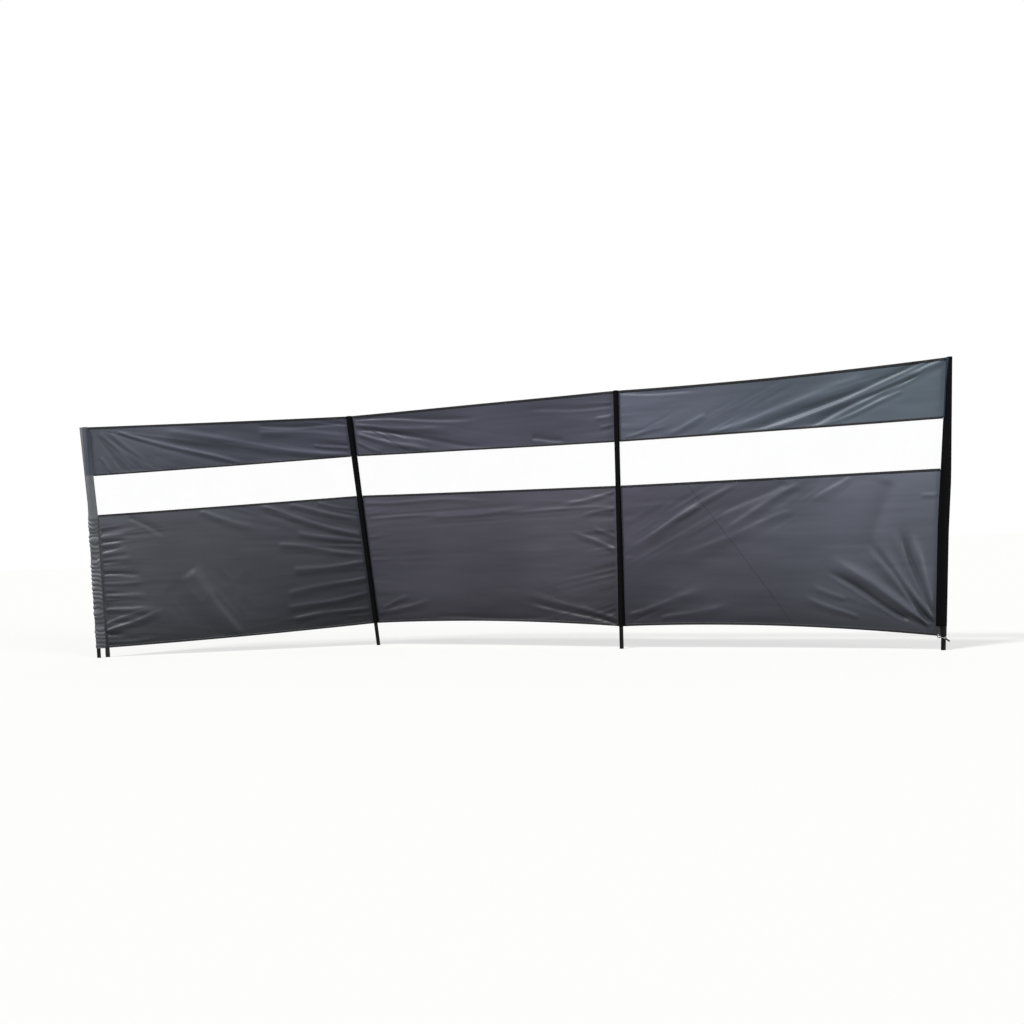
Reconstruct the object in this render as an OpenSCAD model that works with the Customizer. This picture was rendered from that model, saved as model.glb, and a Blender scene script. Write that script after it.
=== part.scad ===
/* [Poles] */
// Height of the cloth's top edge above the ground
pole_h = 1400; // [1300:10:1800]
// Outer diameter of a pole
pole_d = 22; // [16:1:30]
// Lean of the first pole along the row, in degrees
pole_1_lean = -1.5; // [-5:0.5:5]
// Lean of the second pole along the row, in degrees
pole_2_lean = -3; // [-5:0.5:5]
// Lean of the third pole along the row, in degrees
pole_3_lean = 0.5; // [-5:0.5:5]
// Lean of the fourth pole along the row, in degrees
pole_4_lean = 2.5; // [-5:0.5:5]
// Tilt of the first pole away from the front, in degrees
pole_1_tilt = 1; // [-7:0.5:7]
// Tilt of the second pole away from the front, in degrees
pole_2_tilt = -5.5; // [-7:0.5:7]
// Tilt of the third pole away from the front, in degrees
pole_3_tilt = 1; // [-7:0.5:7]
// Tilt of the fourth pole away from the front, in degrees
pole_4_tilt = -0.5; // [-7:0.5:7]

/* [Bays] */
// Width of the cloth between two poles, laid flat
bay_w = 1658; // [1000:2:2400]
// Share of that width that hangs slack
slack_share = 0.008; // [0.004:0.001:0.02]
// Turn of the first bay away from the row's line, in degrees
bay_1_turn = 17; // [-20:1:20]
// Turn of the second bay, in degrees
bay_2_turn = -10; // [-20:1:20]
// Turn of the third bay, in degrees
bay_3_turn = -8.5; // [-20:0.5:20]
// How far the slack lets the middle of a bay belly out
belly_depth = 30; // [0:2:60]

/* [Cloth] */
// Height of the lower panel where it hangs smooth
lower_h = 808; // [600:2:900]
// Height of the clear window between its seams
window_h = 237; // [150:1:320]
// Gap under the hem at the first pole
hem_gap_1 = 57; // [30:1:160]
// Gap under the hem at the second pole
hem_gap_2 = 138; // [30:1:160]
// Gap under the hem at the third pole
hem_gap_3 = 121; // [30:1:160]
// Gap under the hem at the fourth pole
hem_gap_4 = 66; // [30:1:160]
// Height that the lower panel loses in gathers at the second pole
gather_2 = 24; // [0:1:60]
// Height that the lower panel loses in gathers at the third pole
gather_3 = 43; // [0:1:60]
// How far the hem bows up along the first bay
hem_bow_1 = -8; // [-20:1:40]
// How far the hem bows up along the second bay
hem_bow_2 = 20; // [-20:1:40]
// How far the hem bows up along the third bay
hem_bow_3 = 27; // [-20:1:40]
// How far the top edge dips along the first bay
top_dip_1 = 2; // [0:1:30]
// How far the top edge dips along the second bay
top_dip_2 = 0; // [0:1:30]
// How far the top edge dips along the third bay
top_dip_3 = 13; // [0:1:30]
// Width of the hems along the top and bottom edges
hem_w = 12; // [8:1:25]
// Width of the dark tapes that hold the window
tape_w = 12; // [8:1:20]

/* [Sleeves] */
// How far the first sleeve's seam stands off its pole, at the top
sleeve_1_top = 3; // [2:1:50]
// How far that seam stands off level with the window's lower edge
sleeve_1_sill = 30; // [2:1:50]
// How far that seam stands off at the foot
sleeve_1_foot = 34; // [2:1:50]
// How far the first sleeve flares past its pole at the top
sleeve_1_flare = 27; // [2:1:40]
// How far both seams of the second sleeve stand off its pole, at the top
sleeve_2_top = 9; // [2:1:50]
// How far those seams stand off level with the window's lower edge
sleeve_2_sill = 7; // [2:1:50]
// How far those seams stand off at the foot
sleeve_2_foot = 4; // [2:1:50]
// How far both seams of the third sleeve stand off its pole, at the top
sleeve_3_top = 2; // [2:1:50]
// How far those seams stand off level with the window's lower edge
sleeve_3_sill = 2; // [2:1:50]
// How far those seams stand off at the foot
sleeve_3_foot = 8; // [2:1:50]
// How far the fourth sleeve's seam stands off its pole, at the top
sleeve_4_top = 2; // [2:1:50]
// How far that seam stands off level with the window's lower edge
sleeve_4_sill = 17; // [2:1:50]
// How far that seam stands off at the foot
sleeve_4_foot = 25; // [2:1:50]
// How far the fourth sleeve bulges past its pole, level with the window's lower edge
sleeve_4_bulge = 8; // [2:1:40]
// How far above the hem the fourth sleeve ends, over the corner tab
sleeve_4_lift = 50; // [40:1:120]

/* [Fittings] */
// Width of the peg strap at the first pole
strap_w = 25; // [15:1:40]
// Distance of the peg strap's middle from the first pole
strap_x = 46; // [40:1:90]
// Outer diameter of the metal ring at the fourth pole
ring_d = 19; // [16:1:24]
// Thickness of that ring's wire
ring_wire_d = 3.6; // [2.4:0.2:4]
// Thickness of the tie cord
cord_d = 3; // [2:0.5:3.5]

/* [Hidden] */

pole_colour = "#15151a";
cloth_colour = "#4b4b56";
sleeve_colour = "#16161c";
light_sleeve_colour = "#6f6f78";
window_colour = "#dfe6ea";
tape_colour = "#121217";
metal_colour = "#b9b9b2";
cord_colour = "#8d8d88";

cloth_t = 0.8;
tape_t = 0.8;
// Play between a pole and the cloth around it
play = 0.3;
// Play between two pieces of cloth sewn on each other
seam_play = 0.15;
// Flat edge along which a sleeve is sewn down
sewn_edge = 5;
// Least that a sleeve's edge stands off its pole
snug = 2;
// Sideways step that keeps folds, tapes and metal clear of what stands beside them
side_gap = 1;
pole_r = pole_d / 2;
bay_span = bay_w * (1 - slack_share);
span_cells = 22;
panel_cells = 7;
band_cells = 3;
window_cells = 2;
sleeve_cells = 3;
arc_cells = 8;
round_fn = 48;

lean = [pole_1_lean, pole_2_lean, pole_3_lean, pole_4_lean];
tilt = [pole_1_tilt, pole_2_tilt, pole_3_tilt, pole_4_tilt];
turn = [bay_1_turn, bay_2_turn, bay_3_turn];
hem_gap = [hem_gap_1, hem_gap_2, hem_gap_3, hem_gap_4];
gather = [0, gather_2, gather_3, 0];
hem_bow = [hem_bow_1, hem_bow_2, hem_bow_3];
top_dip = [top_dip_1, top_dip_2, top_dip_3];
sleeve_lift = [0, 0, 0, sleeve_4_lift];

// What the sleeves stand off their poles to the left and to the right, at foot, sill and top
both_stands_2 = [sleeve_2_foot, sleeve_2_sill, sleeve_2_top];
both_stands_3 = [sleeve_3_foot, sleeve_3_sill, sleeve_3_top];
left_stands = [[snug, snug, sleeve_1_flare], both_stands_2, both_stands_3,
               [sleeve_4_foot, sleeve_4_sill, sleeve_4_top]];
right_stands = [[sleeve_1_foot, sleeve_1_sill, sleeve_1_top], both_stands_2, both_stands_3,
                [snug, sleeve_4_bulge, snug]];

function mix(a, b, t) = a + (b - a) * t;
function heading(angle) = [cos(angle), sin(angle), 0];
function unit(v) = v / norm(v);

// Where each pole's middle stands, bay after bay; the first pole's foot is the origin
function shift_per_mm(i) = [tan(lean[i]), tan(tilt[i]), 0];
function pole_mid(i) =
    i == 0 ? shift_per_mm(0) * pole_h / 2 : pole_mid(i - 1) + bay_span * heading(turn[i - 1]);
function axis_at(i, z) = pole_mid(i) + shift_per_mm(i) * (z - pole_h / 2) + [0, 0, z];

// Line along the row at a pole, the front direction there, and half the bend of the row
function turn_before(i) = turn[max(i - 1, 0)];
function turn_after(i) = turn[min(i, len(turn) - 1)];
function along(i) = heading((turn_before(i) + turn_after(i)) / 2);
function front(i) = [along(i).y, -along(i).x, 0];
function half_bend(i) = (turn_before(i) - turn_after(i)) / 2;
// Steps to the front by 1 mm of cloth thickness, so that both bays meet edge to edge
function layer_step(i) = front(i) / cos(half_bend(i));

// Heights of the seams and edges along a bay; t runs from 0 at its first pole to 1
function held(t) = min(max(t, 0), 1);
function arch(t) = 4 * held(t) * (1 - held(t));
function hem_z(b, t) = mix(hem_gap[b], hem_gap[b + 1], held(t)) + hem_bow[b] * arch(t);
function sill_at(i) = hem_gap[i] + lower_h - gather[i];
function sill_z(b, t) = mix(sill_at(b), sill_at(b + 1), held(t));
function lintel_z(b, t) = sill_z(b, t) + window_h;
function top_z(b, t) = pole_h - top_dip[b] * arch(t);

// A sleeve's edge at a height, on the left of its pole where side is -1 and on the right where it is 1
function sleeve_foot(i) = hem_gap[i] + sleeve_lift[i];
function stand(i, side, z) = let (s = side < 0 ? left_stands[i] : right_stands[i])
    lookup(z, [[sleeve_foot(i), s[0]], [sill_at(i), s[1]], [pole_h, s[2]]]);
function reach(i, side, z) = pole_r + play + stand(i, side, z);
// Share of a bay that lies between a pole's middle and a piece that keeps clear of the sleeve at some heights
function clear_share(i, far) = (far + side_gap) / cos(half_bend(i)) / bay_span;
function beside(i, side, heights) = clear_share(i, max([for (z = heights) reach(i, side, z)]));
function widest(i, side) = beside(i, side, [sleeve_foot(i), sill_at(i), pole_h]);

// Cloth runs behind the poles and bellies out between them, most at mid height
cloth_back = pole_r + play + cloth_t / 2;
function free_share(b, t) = (t - widest(b, 1)) / (1 - widest(b, 1) - widest(b + 1, -1));
function belly(b, t, z) = belly_depth * arch(free_share(b, t)) * sin(180 * z / pole_h);
// Past the row's ends, t of -1 and 2 stand for the outer edges of the first and the last sleeve
function bay_share(t, z) = t < 0 ? -reach(0, -1, z) / bay_span : t > 1 ? 1 + reach(3, 1, z) / bay_span : t;
function cloth_point(b, t, z, layer) = let (u = bay_share(t, z),
    home = mix(axis_at(b, z), axis_at(b + 1, z), u), step = mix(layer_step(b), layer_step(b + 1), u))
    home + step * (layer - cloth_back - belly(b, u, z));

// Columns of a bay: the free cloth between two sleeves, and the strips behind them
function free_columns(b) =
    [for (k = [0 : span_cells]) mix(widest(b, 1), 1 - widest(b + 1, -1), k / span_cells)];
function all_columns(b) = concat(b == 0 ? [-1, 0] : [0], free_columns(b), b == 2 ? [1, 2] : [1]);
// The free columns, run on at an end where a piece goes farther than they do
least_step = side_gap / bay_span;
function run_on(b, first, last) = concat(first < widest(b, 1) - least_step ? [first] : [], free_columns(b),
                                         last < widest(b + 1, -1) - least_step ? [1 - last] : []);

// Skin between rings of points; each ring runs clockwise when seen from behind the last one, out along
// one side of the cloth and back along the other. Both sides are cut into triangles along the same lines,
// which go by the way that a ring's edges run
module ring_skin(rings, way = [0, 0, 1]) {
    n = len(rings[0]);
    last = len(rings) - 1;
    sides = [for (i = [0 : last - 1], k = [0 : n - 1])
        let (a = i * n + k, b = i * n + (k + 1) % n, c = b + n, d = a + n,
             onward = (rings[0][(k + 1) % n] - rings[0][k]) * way > 0)
        each onward ? [[a, b, c], [a, c, d]] : [[a, b, d], [b, c, d]]];
    first_cap = [for (k = [0 : n / 2 - 2]) [n - 1 - k, n - 2 - k, k + 1, k]];
    last_cap = [for (k = [0 : n / 2 - 2]) [for (p = [k, k + 1, n - 2 - k, n - 1 - k]) last * n + p]];
    polyhedron(points = [for (ring = rings) each ring], faces = concat(sides, first_cap, last_cap));
}

// Flat cloth of a bay through a list of heights, which level_list gives for each column
module cloth_piece(b, columns, back_layer, front_layer, levels) {
    ring_skin([for (j = [0 : len(columns) - 1])
        let (t = columns[j], zs = levels[j], m = len(zs) - 1)
        concat([for (k = [0 : m]) cloth_point(b, t, zs[k], front_layer)],
               [for (k = [m : -1 : 0]) cloth_point(b, t, zs[k], back_layer)])]);
}

// Binding folded over an edge of the cloth; side is 1 over a top edge and -1 under a bottom one
module edge_binding(b, columns, side, edges) {
    inner = cloth_t / 2;
    outer = inner + tape_t;
    path = [[outer, 1, 0], [outer, 0, 1], [-outer, 0, 1], [-outer, 1, 0],
            [-inner, 1, 0], [-inner, 0, 0], [inner, 0, 0], [inner, 1, 0]];
    ring_skin([for (j = [0 : len(columns) - 1]) [for (p = path)
        cloth_point(b, columns[j], edges[j] - side * (p.y * hem_w - p.z * tape_t), side * p.x)]]);
}

module pole(i) {
    top_gap = cloth_t + play;
    foot = axis_at(i, 0);
    reach = axis_at(i, pole_h) - foot;
    way = atan2(reach.y, reach.x);
    color(pole_colour)
    intersection() {
        translate(foot) rotate([0, acos(reach.z / norm(reach)), way]) rotate([0, 0, -way])
            translate([0, 0, -pole_d]) cylinder(d = pole_d, h = pole_h + 2 * pole_d, $fn = round_fn);
        translate(foot + [-pole_h, -pole_h, 0]) cube([2 * pole_h, 2 * pole_h, pole_h - top_gap]);
    }
}

// Front face of the cloth beside a pole, at a height and a step sideways from the pole's axis
function turn_at(b, z) = let (way = axis_at(b + 1, z) - axis_at(b, z)) atan2(way.y, way.x);
function drift(i, a, z) =
    turn_at(a < 0 ? max(i - 1, 0) : min(i, len(turn) - 1), z) - atan2(along(i).y, along(i).x);
function seam_line(i, a, z) = seam_play - (pole_r + play) / cos(half_bend(i)) - a * tan(drift(i, a, z));
// One side of a sleeve's section: seam on the cloth, straight run to the pole, and the arc round it
function half_section(i, side, z) =
    let (r = pole_r + play, edge = reach(i, side, z), fold = edge - min(sewn_edge, 0.75 * stand(i, side, z)),
         start = [fold, seam_line(i, side * fold, z)],
         bearing = atan2(start.y, start.x) + acos(r / norm(start)),
         angles = [for (k = [0 : arc_cells]) mix(bearing, 90, k / arc_cells)])
    concat([[edge, seam_line(i, side * edge, z)], start], [for (a = angles) r * [cos(a), sin(a)]]);
function full_section(i, z) =
    let (left = half_section(i, -1, z))
    concat(half_section(i, 1, z), [for (k = [len(left) - 2 : -1 : 0]) [-left[k].x, left[k].y]]);
function edge_normal(p, q) = let (d = unit(q - p)) [d.y, -d.x];
// The section pushed outwards by the cloth's thickness, with mitred corners
function thickened(path, t) = [for (k = [0 : len(path) - 1])
    let (before = edge_normal(path[max(k - 1, 0)], path[max(k, 1)]),
         after = edge_normal(path[min(k, len(path) - 2)], path[min(k + 1, len(path) - 1)]))
    path[k] + t * (before + after) / (1 + before * after)];
function on_pole(i, p, z) = axis_at(i, z) + along(i) * p.x + front(i) * p.y;

module sleeve(i, colour) {
    levels = concat([for (k = [0 : sleeve_cells - 1]) mix(sleeve_foot(i), sill_at(i), k / sleeve_cells)],
                    [for (k = [0 : sleeve_cells]) mix(sill_at(i), pole_h - cloth_t, k / sleeve_cells)]);
    color(colour)
    ring_skin([for (z = levels)
        let (inner = full_section(i, z), outer = thickened(inner, cloth_t))
        concat([for (p = outer) on_pole(i, p, z)],
               [for (j = [len(inner) - 1 : -1 : 0]) on_pole(i, inner[j], z)])], along(i));
}

// Flap that shuts a sleeve's top over the end of its pole
module sleeve_cap(i, colour) {
    back = [for (a = [-reach(i, -1, pole_h), 0, reach(i, 1, pole_h)]) [a, seam_line(i, a, pole_h)]];
    section = concat(thickened(full_section(i, pole_h), cloth_t), back);
    place = axis_at(i, pole_h);
    color(colour)
    translate([0, 0, pole_h - cloth_t]) linear_extrude(cloth_t)
        polygon([for (p = section) let (q = place + along(i) * p.x + front(i) * p.y) [q.x, q.y]]);
}

module lower_panel(b) {
    columns = all_columns(b);
    color(cloth_colour)
    cloth_piece(b, columns, -cloth_t / 2, cloth_t / 2, [for (t = columns)
        concat([hem_z(b, t)],
               [for (k = [0 : panel_cells])
                   mix(hem_z(b, t) + hem_w, sill_z(b, t) - tape_w, k / panel_cells)],
               [sill_z(b, t) - tape_w / 2])]);
}

module window(b) {
    columns = all_columns(b);
    color(window_colour, 0.5)
    cloth_piece(b, columns, -cloth_t / 2, cloth_t / 2, [for (t = columns)
        concat([sill_z(b, t) - tape_w / 2],
               [for (k = [0 : window_cells]) mix(sill_z(b, t), lintel_z(b, t), k / window_cells)],
               [lintel_z(b, t) + tape_w / 2])]);
}

module top_band(b) {
    columns = all_columns(b);
    color(cloth_colour)
    cloth_piece(b, columns, -cloth_t / 2, cloth_t / 2, [for (t = columns)
        concat([lintel_z(b, t) + tape_w / 2],
               [for (k = [0 : band_cells])
                   mix(lintel_z(b, t) + tape_w, top_z(b, t) - hem_w, k / band_cells)],
               [top_z(b, t)])]);
}

// Tape on the front of a seam of the window; step is its height above the window's lower edge
module seam_tape(b, step) {
    ends = [for (i = [b, b + 1]) [sill_at(i) + step, sill_at(i) + step + tape_w]];
    columns = run_on(b, beside(b, 1, ends[0]), beside(b + 1, -1, ends[1]));
    color(tape_colour)
    cloth_piece(b, columns, cloth_t / 2, cloth_t / 2 + tape_t,
                [for (t = columns) [sill_z(b, t) + step, sill_z(b, t) + step + tape_w]]);
}

// The lower hem ends at the sleeve or, where the sleeve ends above it, at the pole
function hem_end(i, side) = sleeve_lift[i] > hem_w ? clear_share(i, pole_r + side_gap)
                                                   : beside(i, side, [hem_gap[i], hem_gap[i] + hem_w]);
module bottom_hem(b) {
    columns = run_on(b, hem_end(b, 1), hem_end(b + 1, -1));
    color(tape_colour) edge_binding(b, columns, -1, [for (t = columns) hem_z(b, t)]);
}

module top_hem(b) {
    heights = [pole_h - hem_w, pole_h];
    columns = run_on(b, beside(b, 1, heights), beside(b + 1, -1, heights));
    color(tape_colour) edge_binding(b, columns, 1, [for (t = columns) top_z(b, t)]);
}

// Webbing strap sewn on the back of the first bay's corner, which a ground peg holds
module peg_strap() {
    strap_t = 2.4;
    sewn_h = 45;
    back = -cloth_t / 2 - tape_t - seam_play;
    columns = [(strap_x - strap_w / 2) / bay_span, (strap_x + strap_w / 2) / bay_span];
    color(tape_colour)
    cloth_piece(0, columns, back - strap_t, back,
                [for (t = columns) [0, hem_gap_1 - hem_w, hem_gap_1 + sewn_h]]);
}

// Ring, tab and tie at the fourth pole's foot, placed by steps from the pole's axis
wire_r = ring_wire_d / 2;
ring_r = ring_d / 2 - wire_r;
loop_play = 0.4;
tab_t = 1;
tab_w = 10;
loop_r = wire_r + loop_play + tab_t;
hem_face = -(pole_r + play) + tape_t + seam_play;
ring_y = hem_face + loop_r;
// How far the pole reaches sideways at the wire's front, which the ring stays clear of
pole_reach = sqrt(pow(pole_r, 2) - pow(min(ring_y + wire_r, 0), 2));
ring_x = -(pole_reach + side_gap + ring_d / 2);
ring_z = hem_gap_4;

corner_turn = turn_at(2, ring_z);

module corner_frame() {
    translate(axis_at(3, ring_z)) rotate([0, 0, corner_turn]) children();
}

module corner_ring() {
    color(metal_colour)
    corner_frame() translate([ring_x, -ring_y, 0]) rotate([90, 0, 0])
        rotate_extrude($fn = round_fn) translate([ring_r, 0]) circle(d = ring_wire_d, $fn = round_fn / 2);
}

module corner_tab() {
    loop_w = 5;
    tab_h = sleeve_4_lift - ring_r - play;
    color(tape_colour)
    corner_frame() translate([ring_x, -ring_y, ring_r]) {
        difference() {
            union() {
                rotate([0, 90, 0]) cylinder(r = loop_r, h = loop_w, center = true, $fn = round_fn);
                translate([-loop_w / 2, loop_r - tab_t, 0]) cube([loop_w, tab_t, tab_h]);
                translate([-tab_w / 2, loop_r - tab_t, loop_r]) cube([tab_w, tab_t, tab_h - loop_r]);
            }
            rotate([0, 90, 0]) cylinder(r = loop_r - tab_t, h = tab_w, center = true, $fn = round_fn);
        }
    }
}

// The cord's way through the ring and round the pole, as steps sideways, to the front and up
cord_r = cord_d / 2;
wrap_r = pole_r + play + cord_r;
cord_low = -ring_r + wire_r + cord_r + play;
knot_r = 6;
knot_at = [5, wrap_r + knot_r - cord_r, -6];
cord_route = [
    [knot_at.x - knot_r, wrap_r + 0.5, -5.5],
    [-8, wrap_r - 1.5, -4.5],
    [-14, wrap_r - 6, cord_low],
    [ring_x + 1, ring_y + 8, cord_low],
    [ring_x, ring_y, cord_low],
    [ring_x + 1, ring_y - 6, cord_low],
    [-13, -wrap_r, -5],
    [-5, -wrap_r - 0.5, -6],
    [5, -wrap_r, -6],
    [wrap_r - 2, -7, -6],
    [wrap_r + 0.5, 1, -6],
    [wrap_r - 1.5, 8, -6],
    [knot_at.x + knot_r - 0.5, wrap_r, -6]
];

function cord_place(p) =
    axis_at(3, ring_z + p.z) + heading(corner_turn) * p.x - heading(corner_turn + 90) * p.y;
function curve(p, q, r, s, t) =
    0.5 * (2 * q + (r - p) * t + (2 * p - 5 * q + 4 * r - s) * t * t + (3 * q - p - 3 * r + s) * t * t * t);
function smooth_route(points, steps) = let (last = len(points) - 1) concat(
    [for (k = [0 : last - 1], j = [0 : steps - 1])
        curve(points[max(k - 1, 0)], points[k], points[k + 1], points[min(k + 2, last)], j / steps)],
    [points[last]]);

module tie_cord() {
    sides = 8;
    points = [for (p = smooth_route(cord_route, 3)) cord_place(p)];
    last = len(points) - 1;
    color(cord_colour)
    ring_skin([for (k = [0 : last])
        let (way = unit(points[min(k + 1, last)] - points[max(k - 1, 0)]),
             flat = unit(cross([0, 0, 1], way)), rise = cross(way, flat))
        [for (j = [0 : sides - 1])
            points[k] + cord_r * (cos(360 * j / sides) * flat - sin(360 * j / sides) * rise)]]);
}

module tie_knot() {
    color(cord_colour) translate(cord_place(knot_at)) sphere(r = knot_r, $fn = round_fn / 2);
}

// Short stiff tail on the knot, pointing out and down past the pole
module tie_toggle() {
    toggle_d = 8;
    toggle_l = 22;
    droop = 125;
    color(tape_colour)
    translate(cord_place(knot_at)) rotate([0, 0, corner_turn]) rotate([0, droop, 0])
        translate([0, 0, knot_r + seam_play]) {
            cylinder(d = toggle_d, h = toggle_l - toggle_d / 2, $fn = round_fn / 2);
            translate([0, 0, toggle_l - toggle_d / 2]) sphere(d = toggle_d, $fn = round_fn / 2);
        }
}

pole(0);  // pole_1
pole(1);  // pole_2
pole(2);  // pole_3
pole(3);  // pole_4
sleeve(0, light_sleeve_colour);  // sleeve_1
sleeve(1, sleeve_colour);  // sleeve_2
sleeve(2, sleeve_colour);  // sleeve_3
sleeve(3, sleeve_colour);  // sleeve_4
sleeve_cap(0, light_sleeve_colour);  // sleeve_cap_1
sleeve_cap(1, sleeve_colour);  // sleeve_cap_2
sleeve_cap(2, sleeve_colour);  // sleeve_cap_3
sleeve_cap(3, sleeve_colour);  // sleeve_cap_4
top_band(0);  // top_band_1
top_band(1);  // top_band_2
top_band(2);  // top_band_3
window(0);  // window_1
window(1);  // window_2
window(2);  // window_3
lower_panel(0);  // lower_panel_1
lower_panel(1);  // lower_panel_2
lower_panel(2);  // lower_panel_3
top_hem(0);  // top_hem_1
top_hem(1);  // top_hem_2
top_hem(2);  // top_hem_3
bottom_hem(0);  // bottom_hem_1
bottom_hem(1);  // bottom_hem_2
bottom_hem(2);  // bottom_hem_3
seam_tape(0, window_h);  // upper_tape_1
seam_tape(1, window_h);  // upper_tape_2
seam_tape(2, window_h);  // upper_tape_3
seam_tape(0, -tape_w);  // lower_tape_1
seam_tape(1, -tape_w);  // lower_tape_2
seam_tape(2, -tape_w);  // lower_tape_3
peg_strap();
corner_tab();
corner_ring();
tie_cord();
tie_knot();
tie_toggle();
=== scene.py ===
import math

import bmesh
import bpy
import numpy as np
from mathutils import Matrix, Vector


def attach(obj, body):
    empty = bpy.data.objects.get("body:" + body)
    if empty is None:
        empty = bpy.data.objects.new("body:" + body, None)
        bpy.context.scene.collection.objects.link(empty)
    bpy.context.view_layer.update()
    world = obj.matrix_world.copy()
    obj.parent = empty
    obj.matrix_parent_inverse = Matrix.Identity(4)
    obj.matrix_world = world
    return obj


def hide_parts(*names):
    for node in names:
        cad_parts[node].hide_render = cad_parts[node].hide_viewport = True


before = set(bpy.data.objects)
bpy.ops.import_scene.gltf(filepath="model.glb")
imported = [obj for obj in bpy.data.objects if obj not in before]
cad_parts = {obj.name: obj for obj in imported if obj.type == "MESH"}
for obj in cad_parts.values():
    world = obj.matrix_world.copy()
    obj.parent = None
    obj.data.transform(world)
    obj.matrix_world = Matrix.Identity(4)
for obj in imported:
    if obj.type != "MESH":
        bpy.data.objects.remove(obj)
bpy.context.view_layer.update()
print("frame loaded,", len(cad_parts), "nodes")

# the row as it stands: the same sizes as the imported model, in metres and degrees
row = {
    "poleHeight": 1.400, "poleRadius": 0.011, "play": 0.0003, "clothThick": 0.0008, "tapeThick": 0.0008,
    "lean": (-1.5, -3.0, 0.5, 2.5), "tilt": (1.0, -5.5, 1.0, -0.5),
    "turn": (17.0, -10.0, -8.5), "baySpan": 1.658 * 0.992, "belly": 0.030,
    "hemGap": (0.057, 0.138, 0.121, 0.066), "hemBow": (-0.008, 0.020, 0.027),
    "topDip": (0.002, 0.0, 0.013), "gather": (0.0, 0.024, 0.043, 0.0),
    "lowerHeight": 0.808, "windowHeight": 0.237, "hemWidth": 0.012, "tapeWidth": 0.012,
    "sleeveLift": (0.0, 0.0, 0.0, 0.050), "sewnEdge": 0.005, "seamPlay": 0.00015, "sideGap": 0.001,
    # how far each sleeve's edges stand off its pole: pairs of height and step, to the left and to the right
    "leftStands": (
        ((0.865, 0.002), (1.4, 0.027)), ((0.138, 0.004), (0.922, 0.007), (1.4, 0.009)),
        ((0.121, 0.008), (0.886, 0.002)), ((0.116, 0.025), (0.60, 0.0255), (0.874, 0.017), (1.4, 0.002))),
    "rightStands": (
        ((0.057, 0.034), (0.865, 0.030), (1.4, 0.003)), ((0.138, 0.004), (0.922, 0.007), (1.4, 0.009)),
        ((0.121, 0.008), (0.886, 0.002)), ((0.56, 0.002), (0.80, 0.008), (0.874, 0.008), (1.4, 0.002))),
}
tall, span = row["poleHeight"], row["baySpan"]
clothBack = row["poleRadius"] + row["play"] + row["clothThick"] / 2


def mixed(a, b, t):
    return a + (b - a) * t


def smooth(t):
    t = np.clip(t, 0.0, 1.0)
    return t * t * (3 - 2 * t)


def heading(angle):
    return np.array([math.cos(math.radians(angle)), math.sin(math.radians(angle)), 0.0])


def unit(v):
    return v / np.linalg.norm(v)


poleShift = [np.array([math.tan(math.radians(a)), math.tan(math.radians(b)), 1.0])
             for a, b in zip(row["lean"], row["tilt"])]
poleMid = [poleShift[0] * tall / 2]
for bayTurn in row["turn"]:
    poleMid.append(poleMid[-1] + span * heading(bayTurn))
turnBefore = [row["turn"][max(i - 1, 0)] for i in range(4)]
turnAfter = [row["turn"][min(i, 2)] for i in range(4)]
along = [heading((a + b) / 2) for a, b in zip(turnBefore, turnAfter)]
front = [np.array([a[1], -a[0], 0.0]) for a in along]
halfBend = [(a - b) / 2 for a, b in zip(turnBefore, turnAfter)]
layerStep = [f / math.cos(math.radians(b)) for f, b in zip(front, halfBend)]


def axisAt(pole, z):  # the middle of a pole at heights z
    return poleMid[pole] + np.multiply.outer(np.asarray(z, float) - tall / 2, poleShift[pole])


def arch(t):
    c = np.clip(t, 0.0, 1.0)
    return 4 * c * (1 - c)


def stand(pole, side, z):
    heights, steps = zip(*row["leftStands" if side < 0 else "rightStands"][pole])
    return np.interp(z, heights, steps)


def reach(pole, side, z):  # from a pole's middle to the edge of its sleeve
    return row["poleRadius"] + row["play"] + stand(pole, side, z)


def clearShare(pole, side, z):  # share of a bay up to a piece that keeps clear of the sleeve
    return (reach(pole, side, z) + row["sideGap"]) / math.cos(math.radians(halfBend[pole])) / span


def widest(pole, side):
    return float(np.max(clearShare(pole, side, np.linspace(0.1, tall, 40))))


def hemZ(bay, t):
    t = np.clip(t, 0.0, 1.0)
    return mixed(row["hemGap"][bay], row["hemGap"][bay + 1], t) + row["hemBow"][bay] * arch(t)


def sillZ(bay, t):
    ends = [row["hemGap"][i] + row["lowerHeight"] - row["gather"][i] for i in (bay, bay + 1)]
    return mixed(ends[0], ends[1], np.clip(t, 0.0, 1.0))


def lintelZ(bay, t):
    return sillZ(bay, t) + row["windowHeight"]


def topZ(bay, t):
    return tall - row["topDip"][bay] * arch(t)


def clothPoints(bay, t, z, layer):  # layer is how far in front of the cloth's middle a point lies
    shares = [widest(bay, 1), widest(bay + 1, -1)]
    free = (t - shares[0]) / (1 - shares[0] - shares[1])
    belly = row["belly"] * arch(free) * np.sin(math.pi * z / tall)
    home = mixed(axisAt(bay, z), axisAt(bay + 1, z), t[:, None])
    step = mixed(layerStep[bay][None], layerStep[bay + 1][None], t[:, None])
    return home + step * (layer - clothBack - belly)[:, None]


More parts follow.
